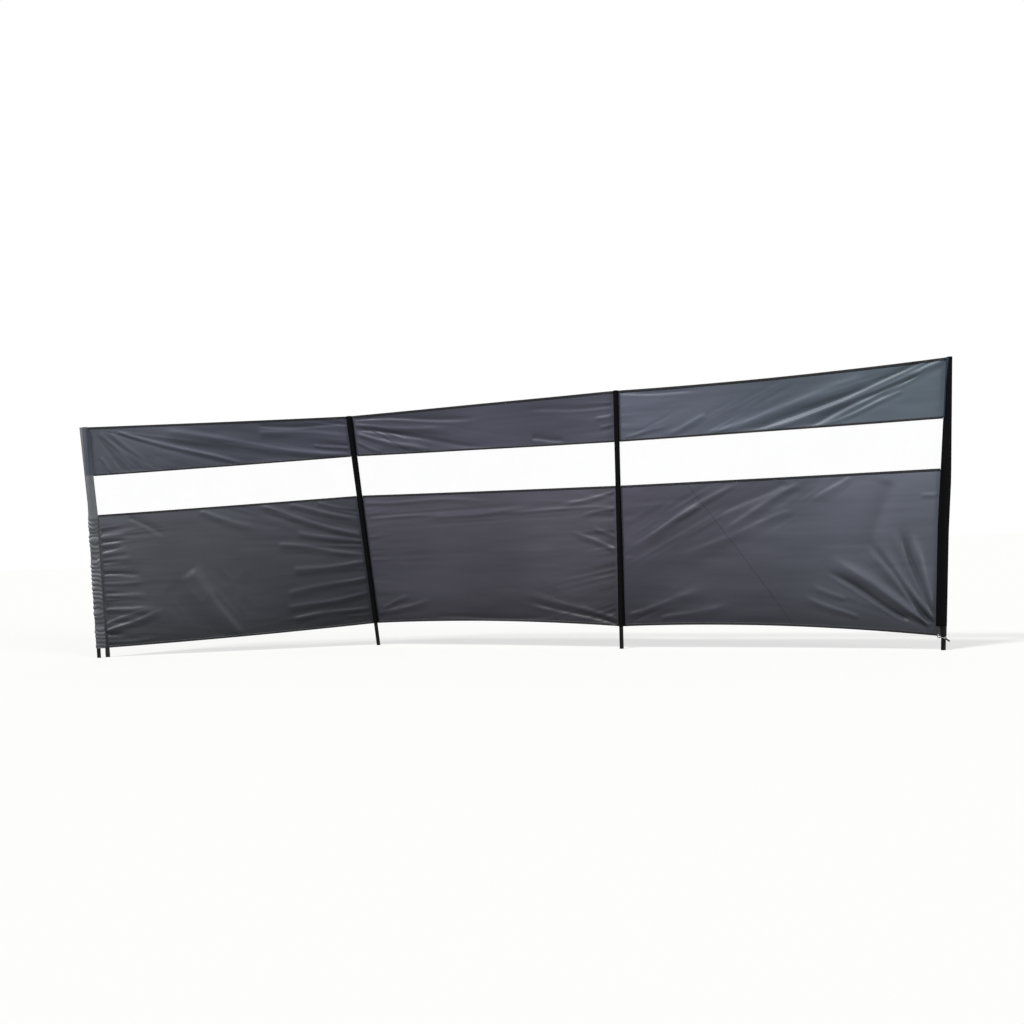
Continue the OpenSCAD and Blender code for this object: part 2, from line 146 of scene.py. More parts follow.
# folds: each runs from x, z to x, z in mm along its bay, with its width at both ends and its height
folds = [
    {"band": [
        (198, 1367, 946, 1137, 8, 11, 5), (87, 1365, 266, 1171, 10, 20, 4),
        (160, 1356, 352, 1180, 9, 20, 4), (87, 1214, 134, 1128, 8, 9, 4.5),
        (491, 1344, 1610, 1168, 28, 16, 6.5), (1067, 1333, 1614, 1288, 18, 26, 5),
        (1071, 1363, 1622, 1348, 10, 12, -3), (1398, 1237, 1616, 1210, 9, 9, 3)],
     "lower": [
        (649, 866, 951, 757, 14, 24, 5), (1013, 882, 1608, 682, 14, 18, 6),
        (1195, 881, 1609, 786, 14, 14, 5), (1378, 886, 1609, 835, 12, 12, 4),
        (1235, 709, 1615, 645, 18, 12, 4.5), (1106, 641, 1617, 566, 20, 13, 5),
        (1183, 479, 1622, 516, 22, 14, 5.5), (1131, 340, 1623, 424, 24, 14, 5),
        (1120, 248, 1622, 325, 20, 12, 5), (1149, 185, 1635, 237, 16, 11, 4.5),
        (1472, 183, 1643, 200, 9, 9, 3), (560, 500, 821, 126, 62, 42, 10),
        (225, 846, 408, 742, 14, 20, -4), (24, 732, 181, 744, 9, 16, 4), (27, 684, 164, 691, 9, 15, 4),
        (22, 624, 185, 653, 9, 18, 5), (25, 581, 204, 604, 8, 16, 4), (25, 508, 243, 499, 10, 18, -6),
        (21, 448, 262, 444, 9, 17, 4.5), (22, 387, 267, 365, 9, 18, 4.5), (26, 284, 278, 291, 9, 18, 5),
        (37, 199, 307, 284, 9, 18, 4.5), (39, 151, 346, 258, 9, 20, 6.5), (46, 90, 302, 96, 9, 14, 4)]},
    {"band": [
        (19, 1376, 750, 1332, 8, 16, -4), (14, 1340, 567, 1284, 9, 18, 4),
        (34, 1291, 476, 1163, 9, 18, 5), (38, 1314, 836, 1160, 10, 22, -4),
        (27, 1243, 182, 1172, 8, 10, 3), (1636, 1317, 1165, 1337, 9, 14, -2),
        (1635, 1269, 1533, 1261, 9, 9, 3), (1633, 1220, 1554, 1210, 8, 8, 3),
        (1144, 1182, 1321, 1157, 14, 14, -4)],
     "lower": [
        (30, 784, 560, 772, 10, 13, 2.2), (480, 772, 1080, 785, 12, 13, 2),
        (1640, 765, 980, 784, 10, 13, 2.2), (29, 881, 747, 855, 9, 12, 3),
        (1623, 852, 1341, 801, 9, 12, 4), (1632, 765, 1445, 741, 8, 11, 3.5),
        (1632, 536, 1394, 633, 9, 14, 4), (1634, 601, 1501, 661, 8, 11, 3),
        (1640, 150, 1100, 296, 10, 24, 3.6), (1640, 122, 1130, 252, 9, 22, -5.5),
        (26, 193, 373, 265, 10, 18, 4.5), (62, 230, 249, 302, 9, 14, 3.5),
        (447, 168, 1148, 167, 12, 12, -3)]},
    {"band": [
        (1636, 1388, 830, 1130, 11, 26, 5.5), (1560, 1392, 720, 1122, 9, 22, -5),
        (1500, 1335, 1010, 1130, 10, 18, -5.5), (1270, 1338, 440, 1116, 32, 16, 5),
        (1440, 1256, 1060, 1120, 8, 8, 3.5), (478, 1226, 296, 1147, 12, 16, 4),
        (42, 1145, 253, 1182, 9, 12, 3), (15, 1385, 406, 1358, 9, 14, -3)],
     "lower": [
        (609, 853, 73, 561, 12, 18, 3.2), (439, 758, 175, 611, 12, 16, 2.6),
        (942, 843, 575, 626, 14, 24, 3.8), (883, 847, 544, 711, 18, 22, -3),
        (1203, 858, 1040, 768, 14, 18, 3.2), (912, 704, 392, 518, 14, 26, 3.2),
        (41, 182, 410, 295, 12, 30, 4), (221, 159, 559, 220, 12, 26, 3.2),
        (1600, 120, 1181, 413, 8, 34, 12), (1610, 125, 1370, 466, 8, 30, 12),
        (1630, 110, 1505, 500, 9, 28, 14), (1600, 105, 1337, 477, 8, 24, -10),
        (1615, 105, 1457, 537, 8, 22, -11), (1480, 144, 1147, 359, 8, 16, -9),
        (1245, 158, 1010, 250, 9, 16, 4), (1182, 248, 1035, 311, 10, 14, 3),
        (1380, 827, 1281, 479, 45, 45, -5), (1617, 751, 1536, 751, 9, 9, 3)]},
]
# bundles of folds that fan out from a corner: x, z, first and last angle, reach in mm, step in degrees and
# height in mm
fans = [
    {"band": [(20, 1402, -62, -5, 1150, 4.2, 3.4)], "lower": []},
    {"band": [(15, 1375, -34, 0, 800, 4.0, 2.6)],
     "lower": [(1650, 118, 150, 174, 760, 4.5, 3.6), (5, 170, 5, 34, 420, 6, 2.6)]},
    {"band": [(1650, 1408, 187, 214, 1250, 3.4, 2.2), (5, 1120, 2, 30, 520, 6, 2.4)],
     "lower": [(1652, 78, 103, 166, 760, 4.6, 1.8), (5, 120, 6, 36, 560, 6, 2.6)]},
]
# ruffles beside the sleeves: side, lowest and highest z, reach, step and height in mm, and how they spread:
# the height at which they leave the sleeve level, and how much steeper they get for each mm above it
ruffles = [
    {"band": [(1, 1120, 1400, 620, 26, 2.2, 1000, 0.0005)],
     "lower": [(-1, 60, 830, 230, 24, 6.0, 450, 0.0003), (1, 140, 900, 420, 33, 3.6, 530, 0.0008)]},
    {"band": [(1, 1120, 1400, 330, 25, 2.0, 1290, 0.0007)],
     "lower": [(-1, 140, 880, 280, 34, 2.3, 500, 0.0004), (1, 140, 880, 330, 30, 2.8, 700, 0.0007)]},
    {"band": [(-1, 1120, 1400, 260, 24, 2.0, 1250, 0.0004)],
     "lower": [(-1, 400, 880, 160, 30, 1.6, 640, 0.0004)]},
]
# streaks across the middle of a bay: x, z, half length and half height of the patch, slant in degrees, and
# the step and height of the streaks in mm
streaks = [
    {"band": [(1000, 1260, 520, 110, -10, 34, 2.0)],
     "lower": [(1150, 800, 420, 90, -18, 34, 2.2), (720, 300, 170, 220, -55, 60, 3.0)]},
    {"band": [(500, 1230, 480, 110, -13, 30, 1.6)], "lower": [(800, 780, 700, 70, 1, 26, 1.6)]},
    {"band": [(560, 1180, 420, 70, 24, 26, 1.8)],
     "lower": [(430, 720, 400, 150, 29, 33, 2.8), (1000, 800, 260, 70, 30, 32, 2.0)]},
]
# a thin painted shadow line across the third bay's lower panel: its ends, its width in mm and how dark it is
shadowLineMm = ((382, 861), (916, 134), 4.0, 0.5)

drape = {
    # each scales its kind of fold
    "foldHeight": 1.3, "fanHeight": 1.0, "ruffleHeight": 1.0, "streakHeight": 1.0,
    "wander": 0.012,        # how far a fold strays from a straight line, as a share of its length
    "valley": 0.32,         # share of its height that a fold dips on its lower side
    "slouch": 0.3,          # how much broader a fold is on its lower side, or a trough on its upper one
    "swell": ((420, 260, 5.0), (190, 60, 1.2), (240, 24, 0.5), (90, 11, 0.14)),     # mm along, up and high
    "filmSwell": 0.45, "filmFade": 12,      # the film is stiffer than the cloth, from its edges inwards, mm
    "puckerStep": 21.0, "puckerHeight": 0.55, "puckerReach": 16.0,                  # along the sewn lines, mm
    # folds end a gap from the window and keep a share of their height at the hems; how far from these lines,
    # from a sleeve and from the row's left end they begin to fade, mm
    "windowGap": 4, "windowFade": {"lower": 26, "band": 22}, "hemFade": {"lower": 30, "band": 26},
    "leftAtHem": 0.3, "sleeveFade": 20, "endFade": 12,
}


def softNoise(x, z, cellX, cellZ, seed):  # smooth hills and hollows from -1 to 1
    size = 97               # after this many cells the hills repeat
    table = np.random.default_rng(seed).uniform(-1, 1, (size, size))
    gx, gz = x / cellX + 40, z / cellZ + 40
    ix, iz = np.floor(gx).astype(int), np.floor(gz).astype(int)
    fx, fz = [f ** 3 * (f * (f * 6 - 15) + 10) for f in (gx - ix, gz - iz)]
    low, high = [mixed(table[ix % size, k % size], table[(ix + 1) % size, k % size], fx)
                 for k in (iz, iz + 1)]
    return mixed(low, high, fz)


def ridge(x, z, fold):
    x0, z0, x1, z1, w0, w1, height = fold
    run = math.hypot(x1 - x0, z1 - z0)
    # s is a point's share of the way along the fold, and d how far it lies on the lower side
    s = ((x - x0) * (x1 - x0) + (z - z0) * (z1 - z0)) / run ** 2
    d = ((x - x0) * (z1 - z0) - (z - z0) * (x1 - x0)) / run * (1 if x1 > x0 else -1)
    d = d + run * drape["wander"] * np.sin(math.pi * s * 1.7 + x0)
    width = mixed(w0, w1, np.clip(s, 0, 1)) * (1 + math.copysign(drape["slouch"], height) * np.tanh(d / 6))
    ends = smooth(s / 0.10 + 0.3) * smooth((1.2 - s) / 0.35)
    lift = np.exp(-np.abs(d / width) ** 1.6)
    dip = np.exp(-((d - 1.7 * width) / (1.15 * width)) ** 2)
    return height * ends * (lift - drape["valley"] * dip)


def crests(across, run, step, length, seed):  # narrow crests with round valleys between them, about -1 to 0.6
    noise = softNoise(across, run, step, length, seed)
    return 0.62 - 2.0 * np.sqrt(noise * noise + 0.02)


def fan(x, z, spec, seed):
    x0, z0, first, last, reachMm, step, height = spec
    away = np.hypot(x - x0, z - z0)
    angle = np.degrees(np.arctan2(z - z0, x - x0))
    angle = np.where(angle < first - 90, angle + 360, angle)
    inside = smooth((angle - first) / 5) * smooth((last - angle) / 5)
    fade = smooth(away / 150) * smooth((reachMm - away) / (0.65 * reachMm))
    return height * inside * fade * crests(angle, away, step, 700, seed)


def ruffle(z, spec, left, right, seed):  # left and right are how far a point lies from the two sleeves
    side, low, high, reachMm, step, height, levelAt, spread = spec
    away = left if side < 0 else right
    home = (z + spread * levelAt * away) / (1 + spread * away)
    inside = smooth((home - low) / 50) * smooth((high - home) / 50)
    long = reachMm * (0.75 + 0.4 * softNoise(home, 0 * home, step * 1.7, 50, seed + 1))
    fade = np.exp(-(np.maximum(away, 0) / long) ** 1.5)
    return height * inside * fade * crests(home, away, step, reachMm * 1.3, seed)


def streak(x, z, spec, seed):
    x0, z0, halfLength, halfHeight, slant, step, height = spec
    c, s = math.cos(math.radians(slant)), math.sin(math.radians(slant))
    run, off = (x - x0) * c + (z - z0) * s, (z - z0) * c - (x - x0) * s
    inside = np.exp(-np.abs(run / halfLength) ** 2.5 - np.abs(off / halfHeight) ** 2.5)
    return height * inside * crests(off, run, step, halfLength * 0.7, seed)


def foldHeight(bay, t, z):  # how far the cloth stands towards the front at a point, in metres
    x, up = t * span * 1000, z * 1000
    sill, lintel, top, hem = [edge(bay, t) * 1000 for edge in (sillZ, lintelZ, topZ, hemZ)]
    left = x - clearShare(bay, 1, z) * span * 1000
    right = span * 1000 - x - clearShare(bay + 1, -1, z) * span * 1000
    total = sum(softNoise(x, up, cellX, cellZ, 11 + 7 * bay + k) * height
                for k, (cellX, cellZ, height) in enumerate(drape["swell"]))
    inFilm = smooth((up - sill) / drape["filmFade"]) * smooth((lintel - up) / drape["filmFade"])
    total = total * mixed(1.0, drape["filmSwell"], inFilm)
    toEdges = {"lower": (sill - up, up - hem), "band": (up - lintel, top - up)}
    for k, (part, (toWindow, toHem)) in enumerate(toEdges.items()):
        seed = 100 * bay + 40 * k
        lifts = [ridge(x, up, f) * drape["foldHeight"] for f in folds[bay][part]]
        lifts += [fan(x, up, f, seed + j) * drape["fanHeight"] for j, f in enumerate(fans[bay][part])]
        lifts += [ruffle(up, f, left, right, seed + 10 + 3 * j) * drape["ruffleHeight"]
                  for j, f in enumerate(ruffles[bay][part])]
        lifts += [streak(x, up, f, seed + 30 + j) * drape["streakHeight"]
                  for j, f in enumerate(streaks[bay][part])]
        atWindow = smooth((toWindow - drape["windowGap"]) / drape["windowFade"][part])
        atHem = mixed(drape["leftAtHem"], 1.0, smooth(toHem / drape["hemFade"][part]))
        total = total + sum(lifts) * atWindow * atHem
    pucker, sewnAt = 0, row["hemWidth"] * 1000
    for line, seed in ((sill, 3), (lintel, 5), (top - sewnAt, 7), (hem + sewnAt, 9)):
        phase = 2.5 * softNoise(x, up * 0, 60, 60, seed + 20 * bay)
        near = np.exp(-((up - line) / drape["puckerReach"]) ** 2)
        pucker = pucker + near * np.sin(2 * math.pi * x / drape["puckerStep"] + phase)
    total = total + pucker * drape["puckerHeight"] * (0.6 + 0.4 * softNoise(x, up, 140, 60, 31))
    fromLeft = drape["sleeveFade"] if bay else drape["endFade"]
    return total * smooth(left / fromLeft) * smooth(right / drape["sleeveFade"]) / 1000


# finishes
waveStep = 0.314        # a wave texture's own step at scale 1, in metres


def linearColour(hexText):
    parts = [int(hexText[i:i + 2], 16) / 255 for i in (1, 3, 5)]
    return [c / 12.92 if c <= 0.04045 else ((c + 0.055) / 1.055) ** 2.4 for c in parts] + [1.0]


def addNode(owner, kind, inputs=(), stops=(), **settings):
    # one node, given back as its outputs. Its inputs go by name or in their own order, and each is a value to
    # set or a socket to link. The stops of a colour ramp are places, each with a hex colour or a plain grey
    node = owner.node_tree.nodes.new("ShaderNode" + kind)
    for key, value in settings.items():
        setattr(node, key, value)
    for socket, value in inputs.items() if isinstance(inputs, dict) else enumerate(inputs):
        if isinstance(value, bpy.types.NodeSocket):
            owner.node_tree.links.new(value, node.inputs[socket])
        else:
            node.inputs[socket].default_value = value
    if stops:
        bars = node.color_ramp.elements
        while len(bars) < len(stops):
            bars.new(0.5)
        for bar, (position, colour) in zip(bars, stops):
            bar.position = position
            bar.color = linearColour(colour) if isinstance(colour, str) else (colour, colour, colour, 1.0)
    return node.outputs


def newFinish(name):
    finish = bpy.data.materials.new(name)
    finish.use_nodes = True
    finish.node_tree.nodes.clear()
    return finish


def shaded(finish, bumps=(), **inputs):
    # ends a finish: its bumps are laid on each other, each a height, a strength and a distance in mm
    for height, strength, distanceMm in bumps:
        under = {"Normal": inputs["Normal"]} if "Normal" in inputs else {}
        inputs["Normal"] = addNode(finish, "Bump", {
            "Height": height, "Strength": strength, "Distance": distanceMm / 1000, **under})["Normal"]
    shader = addNode(finish, "BsdfPrincipled", {k.replace("_", " "): v for k, v in inputs.items()})
    addNode(finish, "OutputMaterial", (shader["BSDF"],))
    return finish


def threads(finish, uv, pitchMm):  # warp and weft of a plain weave, on the piece's own UV in metres
    weave = {"Vector": uv, "Scale": waveStep / (pitchMm / 1000), "Distortion": 0.4, "Detail": 1.0}
    waves = [addNode(finish, "TexWave", weave, bands_direction=way)["Fac"] for way in "XY"]
    return addNode(finish, "Math", waves, operation="MULTIPLY")[0]


def stitched(finish, colour, threadColour, look):
    # a colour with a sewn row beside each edge, placed by the "sewn" attribute, and the row's own mask
    stitchShare = 0.74      # of a stitch's step; the rest is the gap to the next
    sewn = addNode(finish, "Attribute", attribute_name="sewn")["Vector"]
    parts = addNode(finish, "SeparateXYZ", (sewn,))
    off = addNode(finish, "Math", (parts["X"], look["seamInMm"] / 1000), operation="SUBTRACT")[0]
    away = addNode(finish, "Math", (off,), operation="ABSOLUTE")[0]
    inRow = addNode(finish, "Math", (away, look["threadMm"] / 2000), operation="LESS_THAN")[0]
    turns = addNode(finish, "Math", (parts["Y"], 1000 / look["stitchMm"]), operation="MULTIPLY")[0]
    share = addNode(finish, "Math", (turns,), operation="FRACT")[0]
    inStitch = addNode(finish, "Math", (share, stitchShare), operation="LESS_THAN")[0]
    mask = addNode(finish, "Math", (inRow, inStitch), operation="MULTIPLY")[0]
    mix = {"Factor": mask, "A": colour, "B": linearColour(threadColour)}
    return addNode(finish, "Mix", mix, data_type="RGBA")["Result"], mask


def coatedPolyester(name, first, last, clothLook, way="X", length=span, paintedShadowLine=None, beside=None,
                    fade=None):
    # plain-woven polyester with a water-proof coating: a soft grey gloss on each fold, and painted highlight
    # on the fold crests with painted shade in the hollows. Its colour goes from first to last over a length,
    # a line, if given, is painted across it as a thin dark shadow, and beside is the colour of the bay's own
    # cloth, where that is turned over the sleeve. fade says how strong its colour is at heights above its
    # lower edge: painted shade, dark at the hem and pale below the window
    finish = newFinish(name)
    uv = addNode(finish, "UVMap", uv_map="UVMap")["UV"]
    parts = addNode(finish, "SeparateXYZ", (uv,))
    share = addNode(finish, "Math", (parts[way], length), operation="DIVIDE")[0]
    colour = addNode(finish, "ValToRGB", (share,), [(0.1, first), (0.9, last)])["Color"]
    if beside:
        turned = addNode(finish, "Attribute", attribute_name="turned")["Fac"]
        colour = addNode(finish, "Mix", {"Factor": turned, "A": colour, "B": linearColour(beside)},
                         data_type="RGBA")["Result"]
    place = addNode(finish, "TexCoord")["Object"]
    cloud = addNode(finish, "TexNoise", {"Vector": place, "Scale": 1000 / clothLook["cloudMm"], "Detail": 4.0,
                                         "Roughness": 0.6})["Fac"]
    clouded = addNode(finish, "MapRange", (cloud, 0.25, 0.78, 0.93, 1.08))["Result"]
    # painted highlight on fold crests and painted shade in the hollows, from the fold height
    paintedFoldShade = addNode(finish, "Attribute", attribute_name="paintedFoldShade")["Fac"]
    foldShadeDepth = clothLook["foldShadeDepth"]
    shades = [addNode(finish, "MapRange", (paintedFoldShade, -1.0, 1.0, 1 - foldShadeDepth, 1 + foldShadeDepth))["Result"], clouded]
    # painted shade and light by height: darker towards the hem, paler towards the window
    if fade:
        tallest = fade[-1][0]
        up = addNode(finish, "Math", (parts["Y"], tallest), operation="DIVIDE")[0]
        stops = [(z / tallest, strength / 2) for z, strength in fade]
        half = addNode(finish, "ValToRGB", (up,), stops)["Color"]
        shades.append(addNode(finish, "Math", (half, 2.0), operation="MULTIPLY")[0])
    # a thin painted shadow line across the cloth
    if paintedShadowLine:
        (x0, z0), (x1, z1), width, dark = paintedShadowLine
        across = np.array([z1 - z0, x0 - x1]) / math.hypot(x1 - x0, z1 - z0)
        off = addNode(finish, "VectorMath", (uv, (across[0], across[1], 0)), operation="DOT_PRODUCT")["Value"]
        off = addNode(finish, "Math", (off, float(across @ (x0, z0))), operation="SUBTRACT")[0]
        off = addNode(finish, "Math", (off,), operation="ABSOLUTE")[0]
        shades.append(addNode(finish, "MapRange", (off, 0.0, width / 1.5, 1 - dark, 1.0))["Result"])
    shade = shades[0]
    for other in shades[1:]:
        shade = addNode(finish, "Math", (shade, other), operation="MULTIPLY")[0]
    # the colour with painted highlight and shade from the folds and the height, and a random cloudy tone
    wearAndPaintedShade = addNode(finish, "VectorMath", {0: colour, "Scale": shade}, operation="SCALE")["Vector"]
    slubs = addNode(finish, "Mapping", {"Vector": uv, "Scale": (40.0, 400.0, 1.0)})["Vector"]
    slub = addNode(finish, "TexNoise", {"Vector": slubs, "Scale": 1.0, "Detail": 2.0})["Fac"]
    return shaded(finish, [(threads(finish, uv, clothLook["threadMm"]), 0.35, 0.12), (slub, 0.12, 0.15)],
                  Base_Color=wearAndPaintedShade, Roughness=clothLook["roughness"], IOR=1.5,
                  Specular_IOR_Level=clothLook["gloss"])


def polyesterTape(name, base, light, threadColour, tapeLook):
    # woven binding: fine ribs across it, and a row of stitches beside each edge
    finish = newFinish(name)
    uv = addNode(finish, "UVMap", uv_map="UVMap")["UV"]
    ribs = addNode(finish, "TexWave", {"Vector": uv, "Scale": waveStep / (tapeLook["ribMm"] / 1000),
                                       "Distortion": 0.6}, bands_direction="X")["Fac"]
    wearAndPaintedShade = addNode(finish, "TexNoise", {"Vector": uv, "Scale": 35.0, "Detail": 3.0})["Fac"]
    colour = addNode(finish, "ValToRGB", (wearAndPaintedShade,), [(0.3, base), (0.75, light)])["Color"]
    sewn, mask = stitched(finish, colour, threadColour, tapeLook)
    return shaded(finish, [(ribs, 0.4, 0.15), (mask, 0.8, 0.35)], Base_Color=sewn, Roughness=0.55,
                  Sheen_Weight=0.15, Sheen_Roughness=0.5, IOR=1.5)


def clearVinyl(name, filmLook):
    # clear sheet PVC: see-through, a cool tint, wide glints, and a faint haze where it was rolled
    finish = newFinish(name)
    place = addNode(finish, "TexCoord")["Object"]
    haze = addNode(finish, "TexNoise", {"Vector": place, "Scale": 5.0, "Detail": 5.0})["Fac"]
    colour = addNode(finish, "ValToRGB", (haze,), [(0.3, "#eef3f5"), (0.8, "#ffffff")])["Color"]
    cover = addNode(finish, "MapRange", (haze, 0.3, 0.8, *filmLook["cover"]))["Result"]
    return shaded(finish, Base_Color=colour, Alpha=cover, Roughness=filmLook["roughness"], IOR=1.53)


def powderCoatedSteel(name, coatLook):
    # steel tube under a satin black coat: a narrow line of light, fine orange-peel, and scuffs at the foot
    finish = newFinish(name)
    place = addNode(finish, "TexCoord")["Object"]
    peelScale = 1000 / coatLook["peelMm"]
    peel = addNode(finish, "TexNoise", {"Vector": place, "Scale": peelScale, "Detail": 2.0})["Fac"]
    drawn = addNode(finish, "Mapping", {"Vector": place, "Scale": (500.0, 500.0, 25.0)})["Vector"]
    scuff = addNode(finish, "TexNoise", {"Vector": drawn, "Scale": 1.0, "Detail": 3.0})["Fac"]
    height = addNode(finish, "SeparateXYZ", (place,))["Z"]
    low = addNode(finish, "MapRange", (height, 0.0, coatLook["scuffedTo"], 0.05, 0.0))["Result"]
    wearAndPaintedShade = addNode(finish, "Math", (scuff, low), operation="ADD")[0]
    stops = [(0.5, "#08080a"), (0.72, "#101013"), (0.86, "#6a6762")]
    colour = addNode(finish, "ValToRGB", (wearAndPaintedShade,), stops)["Color"]
    return shaded(finish, [(peel, 0.25, 0.1)], Base_Color=colour, Roughness=0.4, IOR=1.5,
                  Specular_IOR_Level=0.3)


def zincPlatedSteel(name):
    # drawn wire bent to a ring and zinc plated: a bright grey metal with a faint milky bloom
    finish = newFinish(name)
    place = addNode(finish, "TexCoord")["Object"]
    bloom = addNode(finish, "TexNoise", {"Vector": place, "Scale": 260.0, "Detail": 4.0})["Fac"]
    colour = addNode(finish, "ValToRGB", (bloom,), [(0.3, "#8f908e"), (0.7, "#c9cac6")])["Color"]
    rough = addNode(finish, "MapRange", (bloom, 0.0, 1.0, 0.22, 0.48))["Result"]
    return shaded(finish, [(bloom, 0.15, 0.1)], Base_Color=colour, Metallic=1.0, Roughness=rough)


def slanted(finish, uv, angle, stepMm, distortion=0.0):  # ribs or strands that run at an angle in degrees
    turned = addNode(finish, "Mapping", {"Vector": uv, "Rotation": (0, 0, math.radians(angle))})["Vector"]
    wave = {"Vector": turned, "Scale": waveStep / (stepMm / 1000), "Distortion": distortion}
    return addNode(finish, "TexWave", wave)["Fac"]


def braidedCord(name, low, high, strandMm):
    # braided polyester cord: strands cross each other, with painted shade in the gaps between them
    finish = newFinish(name)
    uv = addNode(finish, "UVMap", uv_map="UVMap")["UV"]
    waves = [slanted(finish, uv, angle, strandMm) for angle in (35.0, -35.0)]
    strands = addNode(finish, "Math", waves, operation="MAXIMUM")[0]
    # painted shade in the gaps between strands, paler on the strands
    colour = addNode(finish, "ValToRGB", (strands,), [(0.25, low), (0.8, high)])["Color"]
    return shaded(finish, [(strands, 0.8, 0.35)], Base_Color=colour, Roughness=0.7, Sheen_Weight=0.3, IOR=1.5)


def polypropyleneWebbing(name, base, light, threadColour, webLook):
    # flat woven strap: slanting ribs, a hard sheen, and rows of thread where it is sewn down
    finish = newFinish(name)
    uv = addNode(finish, "UVMap", uv_map="UVMap")["UV"]
    ribs = slanted(finish, uv, 32, webLook["ribMm"], 0.5)
    # painted shade between the ribs and painted highlight along them
    colour = addNode(finish, "ValToRGB", (ribs,), [(0.1, base), (0.9, light)])["Color"]
    sewn, mask = stitched(finish, colour, threadColour, webLook)
    return shaded(finish, [(ribs, 0.7, 0.3), (mask, 0.8, 0.3)], Base_Color=sewn, Roughness=0.45,
                  Sheen_Weight=0.1, IOR=1.49)


def mouldedPolyamide(name):
    # injection-moulded plastic: dark, fine-grained, with a soft highlight
    finish = newFinish(name)
    place = addNode(finish, "TexCoord")["Object"]
    grain = addNode(finish, "TexNoise", {"Vector": place, "Scale": 2200.0, "Detail": 2.0})["Fac"]
    colour = addNode(finish, "ValToRGB", (grain,), [(0.3, "#141416"), (0.8, "#2b2b2e")])["Color"]
    return shaded(finish, [(grain, 0.3, 0.08)], Base_Color=colour, Roughness=0.42, IOR=1.5)


# the last value of each look is how strong the painted highlight on fold crests and the painted shade in the
# hollows are
# the threads show 1.4 mm apart, because real ones, 0.4 mm apart, are too fine to see
clothLook = {"roughness": 0.48, "gloss": 0.4, "cloudMm": 620, "threadMm": 1.4, "foldShadeDepth": 0.16}
blackLook = {"roughness": 0.7, "gloss": 0.1, "cloudMm": 200, "threadMm": 1.4, "foldShadeDepth": 0.1}
gatheredLook = {"roughness": 0.55, "gloss": 0.3, "cloudMm": 60, "threadMm": 1.4, "foldShadeDepth": 0.7}
# the cloth at the left and the right of each bay, with painted light: the band above the window is painted
# paler than the panel below, and each bay carries painted light and shade from how light falls along the row
paintedLightClothColours = {"band": (("#50545e", "#4a4c5b"), ("#4f505e", "#4c4d5b"), ("#5a5e6d", "#5b6671")),
                "lower": (("#46484f", "#35363e"), ("#45444f", "#47454f"), ("#43424e", "#50545e"))}
# painted shade and light by height: height above the hem in metres, and how strong the colour is there
panelPaintedShade = ((0.0, 0.44), (0.07, 0.56), (0.20, 0.84), (0.42, 1.02), (0.62, 1.26), (0.80, 1.54))
tapeLook = {"ribMm": 1.3, "seamInMm": 2.2, "stitchMm": 3.6, "threadMm": 0.7}
webLook = {"ribMm": 1.6, "seamInMm": 2.4, "stitchMm": 2.6, "threadMm": 0.8}
filmLook = {"roughness": 0.05, "cover": (0.02, 0.06)}
coatLook = {"peelMm": 1.2, "scuffedTo": 0.16}
# the painted shadow line, on the lower panel's own UV in metres
shadowLineEnds = [(x / 1000, z / 1000 - float(hemZ(2, x / 1000 / span))) for x, z in shadowLineMm[:2]]
shadowLineMetres = (*shadowLineEnds, shadowLineMm[2] / 1000, shadowLineMm[3])
bandCloth = [coatedPolyester("bandPolyester" + str(k + 1), *ends, clothLook)
             for k, ends in enumerate(paintedLightClothColours["band"])]
lowerCloth = [coatedPolyester("panelPolyester" + str(k + 1), *ends, clothLook, fade=panelPaintedShade,
                              paintedShadowLine=shadowLineMetres if k == 2 else None)
              for k, ends in enumerate(paintedLightClothColours["lower"])]
sleeveBlack = coatedPolyester("blackSleevePolyester", "#060709", "#07080c", blackLook)
sleeveEnd = coatedPolyester("lastSleevePolyester", "#060709", "#07080c", blackLook, beside="#34414d")
# the first sleeve is the bays' own dark cloth, painted paler as if in sunlight, and paler still towards its
# top
sunPaintedSleeve = coatedPolyester("sunPaintedSleevePolyester", "#585a5f", "#74767b", gatheredLook, "Y", tall,
                             beside="#50545e")
tapeBlack = polyesterTape("blackBindingTape", "#141418", "#202026", "#2e2e34", tapeLook)
vinyl = clearVinyl("clearWindowVinyl", filmLook)
poleCoat = powderCoatedSteel("powderCoatedSteelTube", coatLook)
zinc = zincPlatedSteel("zincPlatedRing")
cordWhite = braidedCord("braidedTieCord", "#5d5b57", "#a9a6a0", 0.9)
webBlack = polypropyleneWebbing("blackWebbing", "#121215", "#2a2a2f", "#55555a", webLook)
webTab = polypropyleneWebbing("cornerTabWebbing", "#17171a", "#303035", "#b8b6ae", webLook)
toggleBlack = mouldedPolyamide("mouldedToggle")
print("finishes made")


# cloth of the three bays
clothGrid = {"cellMm": 6.5, "filmCellMm": 12.0, "tapeCellMm": 7.0, "hemCellMm": 8.0}
# how far a tape stands up from the cloth at its edges, how much more in its middle, and how much a hem swells
sewing = {"tapeLift": 0.00012, "tapeCrown": 0.0003, "hemPuff": 0.0004}
tapeStep = (row["clothThick"] + row["tapeThick"]) / 2        # from the middle of the cloth to that of a tape


def shown(name, data):
    thing = bpy.data.objects.new(name, data)
    bpy.context.scene.collection.objects.link(thing)
    return thing


